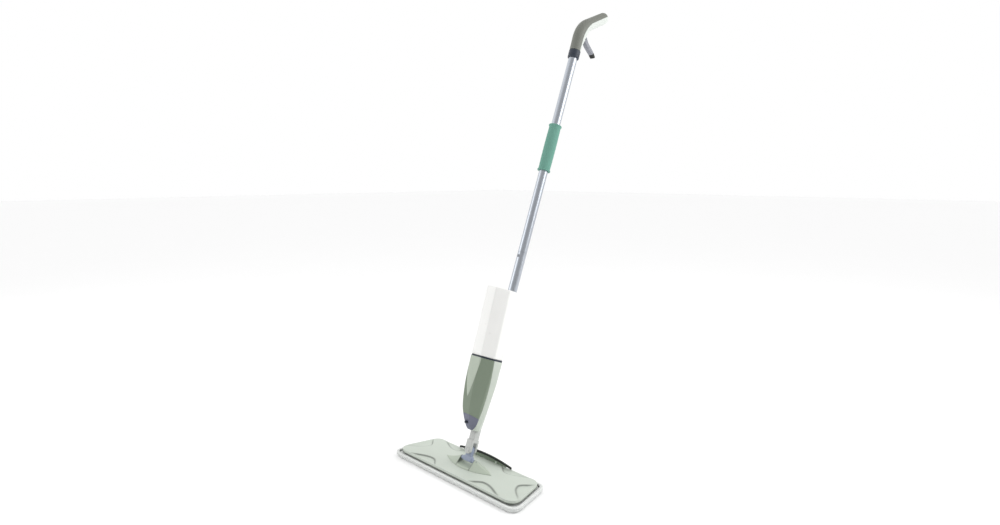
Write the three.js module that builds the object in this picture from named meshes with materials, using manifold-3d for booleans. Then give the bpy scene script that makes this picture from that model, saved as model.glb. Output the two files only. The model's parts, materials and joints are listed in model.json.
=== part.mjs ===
// Spray mop: a flat swivelling head with a microfibre pad and a flip-up squeegee, a two-section
// tube handle with a trigger grip, and a clip-in bottle feeding a hand pump and a nozzle.
//
// Frame: millimetres, +Z up, +X along the head, -Y the side the nozzle sprays to.
// The origin is the centre of the pad's underside. The head lies level on the floor and the handle
// leans back towards +Y about the head's pitch axis, in a group whose own +Z runs up the tube.
import * as THREE from 'three';
import { mergeVertices } from 'three/addons/utils/BufferGeometryUtils.js';
import Module from 'manifold-3d';

const wasm = await Module();
wasm.setup();

// ---- Driving dimensions --------------------------------------------------------------------

const GAP = 0.3; // clearance kept between touching pieces
const RADIAL_STEPS = 20; // sides of the larger round pieces
const SMALL_STEPS = 10; // sides of pins, hoses and other small round pieces
const BEVEL_STEPS = 2;
const WELD = 1e-4; // vertices closer than this are one vertex
const TURNING_PLAY = 0.08; // play between a turning pin and its bore

// Head
const FRONT_EDGE = 404; // length of the head's front edge
const BACK_EDGE = 346; // length of its shorter back edge
const HEAD_DEPTH = 111;
const HEAD_CORNER = 28; // corner radius in plan
const PAD_OVERHANG = 8.6; // how far the pad stands out beyond the head
const PAD_CORNER = 24;
const PAD_PILE_TOP = 7.8;
const PAD_TOP = 11.7;
const BASE_BOTTOM = 12;
const BASE_THICKNESS = 3.6;
const COVER_BOTTOM = BASE_BOTTOM + BASE_THICKNESS + GAP;
const COVER_TOP = 20;
const SCALLOP_DEPTH = 1.6; // recesses pressed into the cover
const STRIP_LENGTH = 300; // hook-and-loop strips under the head
const STRIP_WIDTH = 22;
const STRIP_OFFSET = 33;
const STRIP_THICKNESS = 1.5;
const COVER_INSET = 0.6; // the cover stands back a little from the base plate's edge
const COVER_BEVEL = 1.8;

// Pivot mount and joints
const PITCH_HEIGHT = 34; // pitch axis above the floor
const MOUNT_LENGTH = 150; // leaf-shaped mount along X
const MOUNT_WIDTH = 44;
const EAR_INNER = 21.6; // inner face of each ear from the middle
const EAR_TOP = 41;
const PITCH_PIN_R = 2.5;
const CRADLE_BAR_R = 4.6;
const SWING_HEIGHT = 22.8; // swing pin above the pitch axis, along the handle
const SWING_PIN_R = 2.4;
const TONGUE_FRONT = -5.6;
const TONGUE_BACK = 4.6;

// Handle
const LEAN = THREE.MathUtils.degToRad(21);
const TUBE_R = 11;
const TUBE_WALL = 1.2;
const TUBE_START = 165;
const TUBE_BREAK = 500; // where the lower and upper tubes meet
const TUBE_END = 1048;
const BUTTON_HEIGHT = 490;
const MID_GRIP_START = 709;
const MID_GRIP_END = 829;
const MID_GRIP_R = 15;
const COLLAR_START = 1009;
const GRIP_START = 1030;

// Bottle holder, all heights along the handle
const HOLDER_BOTTOM = 58;
const NOSE_TOP = 103;
const HOLDER_TOP = 234;
const RING_TOP = 238;
const BOTTLE_TOP = 400;
const HOLDER_WALL = 2.6;
const HOLDER_HALF_WIDTH = 38.9;
const HOLDER_FRONT = 63.6;

// Trigger and pump
const TRIGGER_Y = 22; // trigger pivot behind the tube axis
const TRIGGER_Z = 1074;
const TRIGGER_PIN_R = 1.6;
const LINK_Y = 5.5; // where the trigger's nose presses the rod
const ROD_R = 2.2;
const PUMP_BOTTOM = 106;
const PUMP_TOP = 163;
const PUMP_R = 10;

// ---- Finishes ------------------------------------------------------------------------------

function plastic(colour, roughness = 0.5) {
  return new THREE.MeshStandardMaterial({ color: colour, roughness, metalness: 0 });
}

function metal(colour, roughness = 0.3) {
  return new THREE.MeshStandardMaterial({ color: colour, roughness, metalness: 1 });
}

const finishes = {
  sagePale: () => plastic(0xc8ccc6, 0.45),
  sageLight: () => plastic(0xb8c0b4, 0.45),
  sageDark: () => plastic(0x85907f, 0.5),
  edgeGrey: () => plastic(0x787d76, 0.55),
  slate: () => plastic(0x737687, 0.45),
  slateBlue: () => plastic(0x96a0b2, 0.4),
  neckGrey: () => plastic(0xbec0be, 0.45),
  charcoal: () => plastic(0x323a48, 0.5),
  gripDark: () => plastic(0x787a73, 0.55),
  gripLight: () => plastic(0xd7dcd7, 0.45),
  triggerGrey: () => plastic(0x8c8e94, 0.45),
  white: () => plastic(0xf4f4f2, 0.35),
  innerGrey: () => plastic(0xa0a4a6, 0.5),
  teal: () => plastic(0x6ea091, 0.8),
  blackRubber: () => plastic(0x1c211c, 0.7),
  hose: () => plastic(0xdfe4e6, 0.3),
  padWhite: () => plastic(0xebeeeb, 0.95),
  hookGrey: () => plastic(0x55585a, 0.95),
  aluminium: () => metal(0xb9bcc2, 0.32),
  steel: () => metal(0xa8abb0, 0.3),
};

// ---- Shape helpers -------------------------------------------------------------------------

function toSolid(geometry) {
  const bare = geometry.clone();
  bare.deleteAttribute('normal');
  bare.deleteAttribute('uv');
  const merged = mergeVertices(bare, WELD);
  const triangles = [];
  for (let corner = 0; corner < merged.index.count; corner += 3) {
    const [a, b, c] = merged.index.array.slice(corner, corner + 3);
    if (a !== b && b !== c && c !== a) triangles.push(a, b, c);
  }
  return new wasm.Manifold(new wasm.Mesh({
    numProp: 3,
    vertProperties: new Float32Array(merged.attributes.position.array),
    triVerts: new Uint32Array(triangles),
  }));
}

function toGeometry(solid) {
  const mesh = solid.getMesh();
  const geometry = new THREE.BufferGeometry();
  geometry.setAttribute('position', new THREE.BufferAttribute(mesh.vertProperties, 3));
  geometry.setIndex(new THREE.BufferAttribute(mesh.triVerts, 1));
  return geometry;
}

function cut(geometry, ...tools) {
  return toGeometry(tools.reduce((solid, tool) => solid.subtract(toSolid(tool)), toSolid(geometry)));
}

function join(geometry, ...others) {
  return toGeometry(others.reduce((solid, other) => solid.add(toSolid(other)), toSolid(geometry)));
}

function common(geometry, ...others) {
  return toGeometry(others.reduce((solid, other) => solid.intersect(toSolid(other)), toSolid(geometry)));
}

// A block given by its lowest and highest corners.
function block(low, high) {
  const size = high.map((value, axis) => value - low[axis]);
  const centre = high.map((value, axis) => (value + low[axis]) / 2);
  return new THREE.BoxGeometry(...size).translate(...centre);
}

// A round bar along 'x', 'y' or 'z' between two places on that axis.
function bar(axis, radius, from, to, [u, v] = [0, 0], steps = SMALL_STEPS) {
  const geometry = new THREE.CylinderGeometry(radius, radius, to - from, steps);
  const middle = (from + to) / 2;
  if (axis === 'x') return geometry.rotateZ(Math.PI / 2).translate(middle, u, v);
  if (axis === 'y') return geometry.translate(u, middle, v);
  return geometry.rotateX(Math.PI / 2).translate(u, v, middle);
}

// The radius of a faceted bore that leaves a round pin free to turn in it.
function boreFor(pinRadius, steps = SMALL_STEPS) {
  return pinRadius / Math.cos(Math.PI / steps) + TURNING_PLAY;
}

// A turned piece about Z. The profile is [radius, height] pairs; a ring's profile closes on itself.
function turned(profile, steps = RADIAL_STEPS) {
  const points = profile.map(([radius, height]) => new THREE.Vector2(radius, height));
  const onAxis = profile[0][0] === 0;
  if (!onAxis) points.push(points[0].clone());
  return new THREE.LatheGeometry(points, steps).rotateX(Math.PI / 2);
}

function ring(inner, outer, from, to, steps = RADIAL_STEPS) {
  return turned([[inner, from], [outer, from], [outer, to], [inner, to]], steps);
}

// A closed outline through corner points, each corner rounded by its own or the common radius.
function roundedOutline(corners, radius) {
  const shape = new THREE.Shape();
  corners.forEach(([x, y, own], index) => {
    const before = corners[(index + corners.length - 1) % corners.length];
    const after = corners[(index + 1) % corners.length];
    const here = new THREE.Vector2(x, y);
    const toBefore = new THREE.Vector2(before[0], before[1]).sub(here).normalize();
    const toAfter = new THREE.Vector2(after[0], after[1]).sub(here).normalize();
    const halfAngle = toBefore.angleTo(toAfter) / 2;
    const reach = (own ?? radius) / Math.tan(halfAngle);
    const start = here.clone().addScaledVector(toBefore, reach);
    const end = here.clone().addScaledVector(toAfter, reach);
    if (index === 0) shape.moveTo(start.x, start.y);
    else shape.lineTo(start.x, start.y);
    shape.quadraticCurveTo(x, y, end.x, end.y);
  });
  shape.closePath();
  return shape;
}

function roundedRectangle(halfX, halfY, radius, [x, y] = [0, 0]) {
  return roundedOutline([
    [x - halfX, y - halfY],
    [x + halfX, y - halfY],
    [x + halfX, y + halfY],
    [x - halfX, y + halfY],
  ], radius);
}

// A plate of an outline drawn in X and Y, from one height to another, its edges optionally bevelled.
function plate(outline, bottom, top, bevel = 0, curveSegments = 5) {
  const geometry = new THREE.ExtrudeGeometry(outline, {
    depth: top - bottom - 2 * bevel,
    bevelEnabled: bevel > 0,
    bevelThickness: bevel,
    bevelSize: bevel,
    bevelOffset: -bevel,
    bevelSegments: BEVEL_STEPS,
    curveSegments,
  });
  return geometry.translate(0, 0, bottom + bevel);
}

// A plate of an outline drawn in Y (to the right) and Z (up), spread across X.
function sidePlate(outline, left, right, bevel = 0, curveSegments = 5) {
  return plate(outline, left, right, bevel, curveSegments)
    .rotateX(Math.PI / 2)
    .rotateZ(Math.PI / 2);
}

// A plate of an outline drawn in X and Z, between two places on Y.
function frontPlate(outline, front, back, bevel = 0, curveSegments = 5) {
  return plate(outline, -back, -front, bevel, curveSegments).rotateX(Math.PI / 2);
}

// A bar of round section along a smooth curve through the points.
function bentBar(points, radius, steps, sides = 8) {
  const curve = new THREE.CatmullRomCurve3(points.map((point) => new THREE.Vector3(...point)));
  const section = new THREE.Shape().absarc(0, 0, radius, 0, 2 * Math.PI);
  return new THREE.ExtrudeGeometry(section, {
    steps,
    curveSegments: sides / 2,
    extrudePath: curve,
    bevelEnabled: false,
  });
}

// Straight-line reading of a table of [place, value] stations.
function reading(stations, place) {
  const last = stations.length - 1;
  if (place <= stations[0][0]) return stations[0][1];
  if (place >= stations[last][0]) return stations[last][1];
  const after = stations.findIndex(([station]) => station > place);
  const [from, low] = stations[after - 1];
  const [to, high] = stations[after];
  return low + ((high - low) * (place - from)) / (to - from);
}

function reshape(geometry, move) {
  const positions = geometry.attributes.position;
  const point = new THREE.Vector3();
  for (let index = 0; index < positions.count; index += 1) {
    point.fromBufferAttribute(positions, index);
    move(point);
    positions.setXYZ(index, point.x, point.y, point.z);
  }
  return geometry;
}

// ---- Assembly ------------------------------------------------------------------------------

const mop = new THREE.Group();
const handle = new THREE.Group();
handle.position.z = PITCH_HEIGHT;
handle.rotation.x = -LEAN;
mop.add(handle);

function place(parent, name, geometry, finish) {
  const mesh = new THREE.Mesh(geometry, finish());
  mesh.name = name;
  parent.add(mesh);
  return mesh;
}

// ---- Head ----------------------------------------------------------------------------------

// Plan outline of the head: a trapezium with its short side at the back, grown by a margin.
function headOutline(margin = 0, corner = HEAD_CORNER + margin) {
  const front = FRONT_EDGE / 2 + margin;
  const back = BACK_EDGE / 2 + margin;
  const depth = HEAD_DEPTH / 2 + margin;
  const corners = [[-front, -depth], [front, -depth], [back, depth], [-back, depth]];
  return roundedOutline(corners, corner);
}

function basePlate() {
  const plateSolid = plate(headOutline(), BASE_BOTTOM, BASE_BOTTOM + BASE_THICKNESS);
  const pockets = [-STRIP_OFFSET, STRIP_OFFSET].map((y) => block(
    [-STRIP_LENGTH / 2 - GAP, y - STRIP_WIDTH / 2 - GAP, BASE_BOTTOM - 1],
    [STRIP_LENGTH / 2 + GAP, y + STRIP_WIDTH / 2 + GAP, BASE_BOTTOM + STRIP_THICKNESS + GAP],
  ));
  const screwHoles = [-1, 1].map((side) => screwHole(side));
  return cut(plateSolid, ...pockets, ...screwHoles);
}

const MOUNT_SCREW_X = 42;
const SCREW_R = 2;
const SCREW_HEAD_R = 4;
const SCREW_TOP = COVER_TOP + 4; // the screws end inside the mount
const SCREW_HEAD_TOP = BASE_BOTTOM + 1.7;

function screwHole(side) {
  const at = [side * MOUNT_SCREW_X, 0];
  const shaft = bar('z', SCREW_R + GAP, BASE_BOTTOM - 1, SCREW_TOP + GAP, at);
  const headSeat = bar('z', SCREW_HEAD_R + GAP, BASE_BOTTOM - 1, SCREW_HEAD_TOP + GAP, at);
  return join(shaft, headSeat);
}

function mountScrew(side) {
  const at = [side * MOUNT_SCREW_X, 0];
  const shaft = bar('z', SCREW_R, BASE_BOTTOM + 1, SCREW_TOP, at);
  return join(shaft, bar('z', SCREW_HEAD_R, BASE_BOTTOM + GAP, SCREW_HEAD_TOP, at));
}

const ARCH_FOOT = 0.55; // share of an arch's half width where its foot starts to rise
const ARCH_RISE = 0.35; // share of its reach at that place
const ARCH_CROWN = 0.5; // share of its half width over which the crown stays round

// An arched recess: its open side lies on one edge of the head, its crown points to the middle.
function scallop([width, reach], centre, angle) {
  const arch = new THREE.Shape();
  const half = width / 2;
  const [foot, rise, crownHalf] = [half * ARCH_FOOT, reach * ARCH_RISE, half * ARCH_CROWN];
  arch.moveTo(-half, 0);
  arch.bezierCurveTo(-foot, rise, -crownHalf, reach, 0, reach);
  arch.bezierCurveTo(crownHalf, reach, foot, rise, half, 0);
  arch.closePath();
  return plate(arch, COVER_TOP - SCALLOP_DEPTH, COVER_TOP + 1, 0, 4)
    .rotateZ(angle)
    .translate(centre[0], centre[1], 0);
}

const RIM = 5; // flat rim left outside the recesses
const LUG_X = 40; // hinge lugs of the squeegee
const HINGE_Y = 52;
const HINGE_Z = 22.9;
const PIN_R = 1.2;
const PIN_REACH = 6; // how far each squeegee pin stands out on both sides of its lug
const LUG_HALF = 2.2; // half thickness of a lug along X
const LUG_REACH = 2.6; // from a lug's pin to its outer faces
const LUG_CORNER = 2.5;

// Width along the edge and reach towards the middle of each pair of arched recesses.
const FRONT_ARCH = [92, 19];
const BACK_ARCH = [84, 18];
const END_ARCH = [72, 28];
const FRONT_ARCH_X = 104;
const BACK_ARCH_X = 100;

function headCover() {
  const cover = plate(headOutline(-COVER_INSET), COVER_BOTTOM, COVER_TOP, COVER_BEVEL);
  const edge = HEAD_DEPTH / 2 - RIM;
  const sideSlope = Math.atan2((FRONT_EDGE - BACK_EDGE) / 2, HEAD_DEPTH);
  const endMiddle = (FRONT_EDGE + BACK_EDGE) / 4 - RIM;
  const recesses = [-1, 1].flatMap((side) => [
    scallop(FRONT_ARCH, [side * FRONT_ARCH_X, -edge], 0),
    scallop(BACK_ARCH, [side * BACK_ARCH_X, edge], Math.PI),
    scallop(END_ARCH, [side * endMiddle, 0], side * (Math.PI / 2 + sideSlope)),
  ]);
  const lugs = [-1, 1].map((side) => {
    const lug = roundedOutline([
      [HINGE_Y - LUG_REACH, COVER_TOP - 2],
      [HINGE_Y + LUG_REACH, COVER_TOP - 2],
      [HINGE_Y + LUG_REACH, HINGE_Z + LUG_REACH],
      [HINGE_Y - LUG_REACH, HINGE_Z + LUG_REACH],
    ], LUG_CORNER);
    return sidePlate(lug, side * LUG_X - LUG_HALF, side * LUG_X + LUG_HALF, 0, 3);
  });
  const boreEnd = LUG_X + 2 * LUG_HALF;
  const pinBore = bar('x', PIN_R + GAP, -boreEnd, boreEnd, [HINGE_Y, HINGE_Z]);
  const screws = [-1, 1].map((side) => screwHole(side));
  return cut(join(cut(cover, ...recesses), ...lugs), pinBore, ...screws);
}

const LEAF_POWER = 1.8; // how full the leaf's outline is
const LEAF_TIP = 0.4; // half width left at the leaf's tips
const CREST_POWER = 1.35; // how hollow the crest's fall is
const CREST_TIP = 1.2; // crest height left at the tips
const ROOF_POWER = 1.25; // how round the fin's back is across

// Half width of the leaf-shaped mount at a place along X.
function leafHalfWidth(x) {
  const along = Math.min(Math.abs(x) / (MOUNT_LENGTH / 2), 1);
  return (MOUNT_WIDTH / 2) * (1 - along ** LEAF_POWER) + LEAF_TIP;
}

// Height of the mount's crest at a place along X: a fin that falls in a hollow curve to the tip.
function crestHeight(x) {
  const along = (Math.abs(x) - EAR_INNER) / (MOUNT_LENGTH / 2 - EAR_INNER);
  const fall = Math.max(0, Math.min(along, 1));
  const foot = COVER_TOP + CREST_TIP;
  return foot + (EAR_TOP - foot) * (1 - fall) ** CREST_POWER;
}

const SADDLE_FLOOR = 23.6; // low floor between the ears, clear of the neck when it leans back
const SADDLE_CORNER = 4;
const PITCH_PIN_HALF = 27.4; // half length of the pitch pin, from ear to ear

function pivotMount() {
  const length = MOUNT_LENGTH;
  const bottom = COVER_TOP + GAP;
  const fin = new THREE.BoxGeometry(length, 2, 1, 16, 6, 1).translate(0, 0, 0.5);
  reshape(fin, (point) => {
    const across = point.y;
    const crest = crestHeight(point.x);
    const roof = 1 - Math.abs(across) ** ROOF_POWER;
    point.y = across * leafHalfWidth(point.x);
    point.z = point.z < 0.5 ? bottom : bottom + 1 + (crest - bottom - 1) * roof;
  });
  const betweenEars = roundedOutline([
    [-EAR_INNER, SADDLE_FLOOR], [EAR_INNER, SADDLE_FLOOR],
    [EAR_INNER, 2 * EAR_TOP], [-EAR_INNER, 2 * EAR_TOP],
  ], SADDLE_CORNER);
  const saddle = frontPlate(betweenEars, -MOUNT_WIDTH, MOUNT_WIDTH);
  const boreEnd = PITCH_PIN_HALF + 2 * GAP;
  const pinBore = bar('x', PITCH_PIN_R + GAP, -boreEnd, boreEnd, [0, PITCH_HEIGHT]);
  const screws = [-1, 1].map((side) => screwHole(side));
  return cut(fin, saddle, pinBore, ...screws);
}

place(mop, 'head_base_plate', basePlate(), finishes.edgeGrey);
place(mop, 'head_cover', headCover(), finishes.sagePale);
place(mop, 'pivot_mount', pivotMount(), finishes.sageLight);
place(
  mop,
  'pitch_pin',
  bar('x', PITCH_PIN_R, -PITCH_PIN_HALF, PITCH_PIN_HALF, [0, PITCH_HEIGHT]),
  finishes.steel,
);
[['left', -1], ['right', 1]].forEach(([name, side]) => {
  place(mop, `mount_screw_${name}`, mountScrew(side), finishes.steel);
  const pin = bar('x', PIN_R, side * LUG_X - PIN_REACH, side * LUG_X + PIN_REACH, [HINGE_Y, HINGE_Z]);
  place(mop, `squeegee_pin_${name}`, pin, finishes.charcoal);
});
[['front', -STRIP_OFFSET], ['back', STRIP_OFFSET]].forEach(([name, y]) => {
  const strip = block(
    [-STRIP_LENGTH / 2, y - STRIP_WIDTH / 2, BASE_BOTTOM],
    [STRIP_LENGTH / 2, y + STRIP_WIDTH / 2, BASE_BOTTOM + STRIP_THICKNESS],
  );
  place(mop, `hook_strip_${name}`, strip, finishes.hookGrey);
});

// ---- Mop pad -------------------------------------------------------------------------------

const BINDING_WIDTH = 7;
const BINDING_BEVEL = 1;
const PILE_BEVEL = 2.4;

// The pad's outline, taken in from its edge.
function padOutline(inset = 0) {
  return headOutline(PAD_OVERHANG - inset, PAD_CORNER - inset);
}

function padBinding() {
  const outer = plate(padOutline(), PAD_PILE_TOP + GAP, PAD_TOP, BINDING_BEVEL);
  return cut(outer, plate(padOutline(BINDING_WIDTH), PAD_PILE_TOP - 1, PAD_TOP + 1));
}

const padFabric = padOutline(BINDING_WIDTH + GAP);
const padPile = plate(padOutline(), 0, PAD_PILE_TOP, PILE_BEVEL);
place(mop, 'pad_pile', padPile, finishes.padWhite);
place(mop, 'pad_backing', plate(padFabric, PAD_PILE_TOP + GAP, PAD_TOP - GAP), finishes.padWhite);
place(mop, 'pad_binding', padBinding(), finishes.padWhite);

// ---- Squeegee ------------------------------------------------------------------------------

const CROWN_RADIUS = 433; // the lip is gently crowned
const LIP_TOP = 34.4; // lip height above the floor at the middle
const LIP_HEIGHT = 5;
const LIP_HALF = 88;
const HOLDER_HALF = 72;
const TANG_DEPTH = 1.6; // how deep the lip is let into its holder
const TANG_HALF = 0.8; // half thickness of the lip's tang
const LIP_HALF_DEPTH = 1.8; // half thickness of the lip
const WEB_HALF = 2.4; // half thickness of the holder, and the radius of its hinge edge
const RELIEF_HALF = 2.6; // half width of the notch round each lug
const RELIEF_TOP = 3.1; // from the hinge's axis to the top of that notch

// Height of an arc of the crown that passes through 'top' at the middle.
function crown(top, x) {
  return top - CROWN_RADIUS + Math.sqrt(CROWN_RADIUS ** 2 - x ** 2);
}

function crownedStrip(half, bottomAt, topAt, pieces = 12) {
  const shape = new THREE.Shape();
  const step = (2 * half) / pieces;
  shape.moveTo(-half, bottomAt(-half));
  for (let index = 1; index <= pieces; index += 1) {
    shape.lineTo(-half + index * step, bottomAt(-half + index * step));
  }
  for (let index = pieces; index >= 0; index -= 1) {
    shape.lineTo(-half + index * step, topAt(-half + index * step));
  }
  shape.closePath();
  return shape;
}

function squeegeeHolder() {
  const lipFoot = LIP_TOP - LIP_HEIGHT;
  const outline = crownedStrip(HOLDER_HALF, () => HINGE_Z, (x) => crown(lipFoot, x));
  const web = frontPlate(outline, HINGE_Y - WEB_HALF, HINGE_Y + WEB_HALF);
  const underLip = frontPlate(
    crownedStrip(HOLDER_HALF, () => 0, (x) => crown(lipFoot, x)),
    HINGE_Y - 2 * WEB_HALF,
    HINGE_Y + 2 * WEB_HALF,
  );
  const knuckle = common(
    bar('x', WEB_HALF, -HOLDER_HALF, HOLDER_HALF, [HINGE_Y, HINGE_Z]),
    underLip,
  );
  const slotOutline = crownedStrip(
    HOLDER_HALF + 1,
    (x) => crown(lipFoot - TANG_DEPTH - GAP, x),
    (x) => crown(LIP_TOP, x),
  );
  const slot = frontPlate(slotOutline, HINGE_Y - TANG_HALF - GAP, HINGE_Y + TANG_HALF + GAP);
  const relief = [-1, 1].flatMap((side) => [
    block(
      [side * LUG_X - RELIEF_HALF, HINGE_Y - 2 * WEB_HALF, COVER_TOP / 2],
      [side * LUG_X + RELIEF_HALF, HINGE_Y + 2 * WEB_HALF, HINGE_Z + RELIEF_TOP],
    ),
    bar(
      'x',
      boreFor(PIN_R),
      side * LUG_X - PIN_REACH - GAP,
      side * LUG_X + PIN_REACH + GAP,
      [HINGE_Y, HINGE_Z],
    ),
  ]);
  return cut(join(web, knuckle), slot, ...relief);
}

function squeegeeBlade() {
  const lipFoot = LIP_TOP - LIP_HEIGHT;
  const tang = crownedStrip(
    HOLDER_HALF - 1,
    (x) => crown(lipFoot - TANG_DEPTH, x),
    (x) => crown(lipFoot + 1, x),
  );
  const lip = crownedStrip(LIP_HALF, (x) => crown(lipFoot + GAP, x), (x) => crown(LIP_TOP, x));
  return join(
    frontPlate(tang, HINGE_Y - TANG_HALF, HINGE_Y + TANG_HALF),
    frontPlate(lip, HINGE_Y - LIP_HALF_DEPTH, HINGE_Y + LIP_HALF_DEPTH),
  );
}

const squeegee = new THREE.Group();
mop.add(squeegee);
place(squeegee, 'squeegee_holder', squeegeeHolder(), finishes.sageDark);
place(squeegee, 'squeegee_blade', squeegeeBlade(), finishes.blackRubber);

// ---- Cradle: the cross piece between head and handle ---------------------------------------

const cradleGroup = new THREE.Group();
handle.add(cradleGroup);
const TONGUE_HALF = 8;
const CRADLE_HALF = EAR_INNER - 0.4;

// The cradle's shoulder in X and Z: a trapezium round the pitch axis.
const SHOULDER = [[-15, -4], [15, -4], [11, 8.5], [-11, 8.5]];
const SHOULDER_CORNER = 2;
const SHOULDER_BEVEL = 0.8;

function cradle() {
  const crossBar = bar('x', CRADLE_BAR_R, -CRADLE_HALF, CRADLE_HALF, [0, 0], 18);
  const tongueShape = new THREE.Shape();
  tongueShape.moveTo(-TONGUE_HALF, 0);
  tongueShape.lineTo(TONGUE_HALF, 0);
  tongueShape.lineTo(TONGUE_HALF, SWING_HEIGHT);
  tongueShape.absarc(0, SWING_HEIGHT, TONGUE_HALF, 0, Math.PI);
  tongueShape.closePath();
  const tongue = frontPlate(tongueShape, TONGUE_FRONT + GAP, TONGUE_BACK - GAP);
  const shoulderOutline = roundedOutline(SHOULDER, SHOULDER_CORNER);
  const shoulder = frontPlate(shoulderOutline, TONGUE_FRONT, TONGUE_BACK, SHOULDER_BEVEL, 3);
  const pitchBore = bar('x', boreFor(PITCH_PIN_R), -CRADLE_HALF - 1, CRADLE_HALF + 1, [0, 0]);
  const swingBore = bar('y', boreFor(SWING_PIN_R), TONGUE_FRONT - 1, TONGUE_BACK + 1, [0, SWING_HEIGHT]);
  return cut(join(crossBar, tongue, shoulder), pitchBore, swingBore);
}

place(cradleGroup, 'cradle', cradle(), finishes.slateBlue);

// ---- Neck ----------------------------------------------------------------------------------

const PRONG_R = 9.6;
const NECK_FRONT = -12;
const NECK_BACK = 10.6;
const PRONG_TOP = 46;
const PRONG_TAPER = 0.6; // how much narrower each side of the fork is at its top
const PRONG_BEVEL = 1.2;
const FORK_SLOT_TOP = 39.5; // the open slot shows above the cradle's tongue
const SHAFT_HALF_X = 9;
const SHAFT_HALF_Y = 9.4;
const SHAFT_CORNER = 4;
const SHAFT_BOTTOM = 40;
const SHAFT_TOP = HOLDER_BOTTOM + 12;
const SPIGOT_R = 9.2; // round upper end of the neck, inside the holder's socket
const SPIGOT_BOTTOM = HOLDER_BOTTOM + 6;
const SPIGOT_TOP = 101;
const PIN_HEAD_R = 6.2; // head of the swing pin
const PIN_CAP_R = 5; // push-on cap at the pin's other end
const PIN_SEAT = 1.6; // depth of the seats for the head and the cap

function prongOutline(top) {
  const shape = new THREE.Shape();
  shape.moveTo(PRONG_R, SWING_HEIGHT);
  shape.lineTo(PRONG_R - PRONG_TAPER, top);
  shape.lineTo(-PRONG_R + PRONG_TAPER, top);
  shape.lineTo(-PRONG_R, SWING_HEIGHT);
  shape.absarc(0, SWING_HEIGHT, PRONG_R, Math.PI, 2 * Math.PI);
  return shape;
}

function neck() {
  const axis = [0, SWING_HEIGHT];
  const fork = frontPlate(prongOutline(PRONG_TOP), NECK_FRONT, NECK_BACK, PRONG_BEVEL, 8);
  const shaftOutline = roundedRectangle(SHAFT_HALF_X, SHAFT_HALF_Y, SHAFT_CORNER);
  const shaft = plate(shaftOutline, SHAFT_BOTTOM, SHAFT_TOP);
  const spigot = bar('z', SPIGOT_R, SPIGOT_BOTTOM, SPIGOT_TOP, [0, 0], 24);
  const slot = block(
    [-2 * PRONG_R, TONGUE_FRONT - GAP, 0],
    [2 * PRONG_R, TONGUE_BACK + GAP, FORK_SLOT_TOP],
  );
  const pinBore = bar('y', SWING_PIN_R + GAP, NECK_FRONT - 1, NECK_BACK + 1, axis);
  const headSeat = bar('y', PIN_HEAD_R + GAP, NECK_FRONT - 1, NECK_FRONT + PIN_SEAT, axis, 20);
  const capSeat = bar('y', PIN_CAP_R + GAP, NECK_BACK - PIN_SEAT, NECK_BACK + 1, axis, 20);
  return cut(join(fork, shaft, spigot), slot, pinBore, headSeat, capSeat);
}

function swingPin() {
  const axis = [0, SWING_HEIGHT];
  const head = bar('y', PIN_HEAD_R, NECK_FRONT - 0.9, NECK_FRONT + PIN_SEAT - GAP, axis, 20);
  const shank = bar('y', SWING_PIN_R, NECK_FRONT + 1, NECK_BACK - 2, axis);
  return join(head, shank);
}

function swingPinCap() {
  return bar('y', PIN_CAP_R, NECK_BACK - 1.2, NECK_BACK + 0.6, [0, SWING_HEIGHT], 20);
}

place(handle, 'neck', neck(), finishes.neckGrey);
place(handle, 'swing_pin', swingPin(), finishes.neckGrey);
place(handle, 'swing_pin_cap', swingPinCap(), finishes.neckGrey);

// ---- Bottle holder -------------------------------------------------------------------------

// Half widths and front reach of the holder at stations up the handle.
const HALF_WIDTHS = [
  [HOLDER_BOTTOM, 11], [64, 13.6], [73, 16.5], [88, 20.5], [105, 25.5],
  [121, 29.5], [150, 34.6], [171, 37.2], [200, 38.9], [RING_TOP, 38.9], [BOTTLE_TOP, 35.5],
];
const FRONT_REACHES = [
  [HOLDER_BOTTOM, 10], [64, 18], [73, 28], [88, 38.5], [105, 47.5],
  [121, 53], [150, 58], [171, 60.2], [200, 61.6], [RING_TOP, 63.6], [BOTTLE_TOP, 70.5],
];
const REAR_SCALES = [[HOLDER_BOTTOM, 0.76], [130, 0.9], [RING_TOP, 1]];
const SIDE_FRONT = 40.3; // where the front chamfer meets the flat side
const REAR_REACH = 15.6;
const FRONT_HALF = 15.6; // half width of the flat front
const SIDE_BACK = -13.5; // where the flat side ends and the section narrows
const SPINE_HALF = 17; // half width of the narrow back where it starts
const SPINE_START = 9.6;
const SPINE_BACK_HALF = 11; // half width of the flat back

// The holder's section at its top: front flat, wide chamfers, flat sides and a narrower back.
function holderSection() {
  return roundedOutline([
    [-FRONT_HALF, -HOLDER_FRONT], [FRONT_HALF, -HOLDER_FRONT],
    [HOLDER_HALF_WIDTH, -SIDE_FRONT, 4], [HOLDER_HALF_WIDTH, SIDE_BACK, 5],
    [SPINE_HALF, SPINE_START], [SPINE_BACK_HALF, REAR_REACH],
    [-SPINE_BACK_HALF, REAR_REACH], [-SPINE_HALF, SPINE_START],
    [-HOLDER_HALF_WIDTH, SIDE_BACK, 5], [-HOLDER_HALF_WIDTH, -SIDE_FRONT, 4],
  ], 3);
}

const STEP_CROWDING = 1.4; // the form's steps lie closer together towards its lower end

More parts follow.
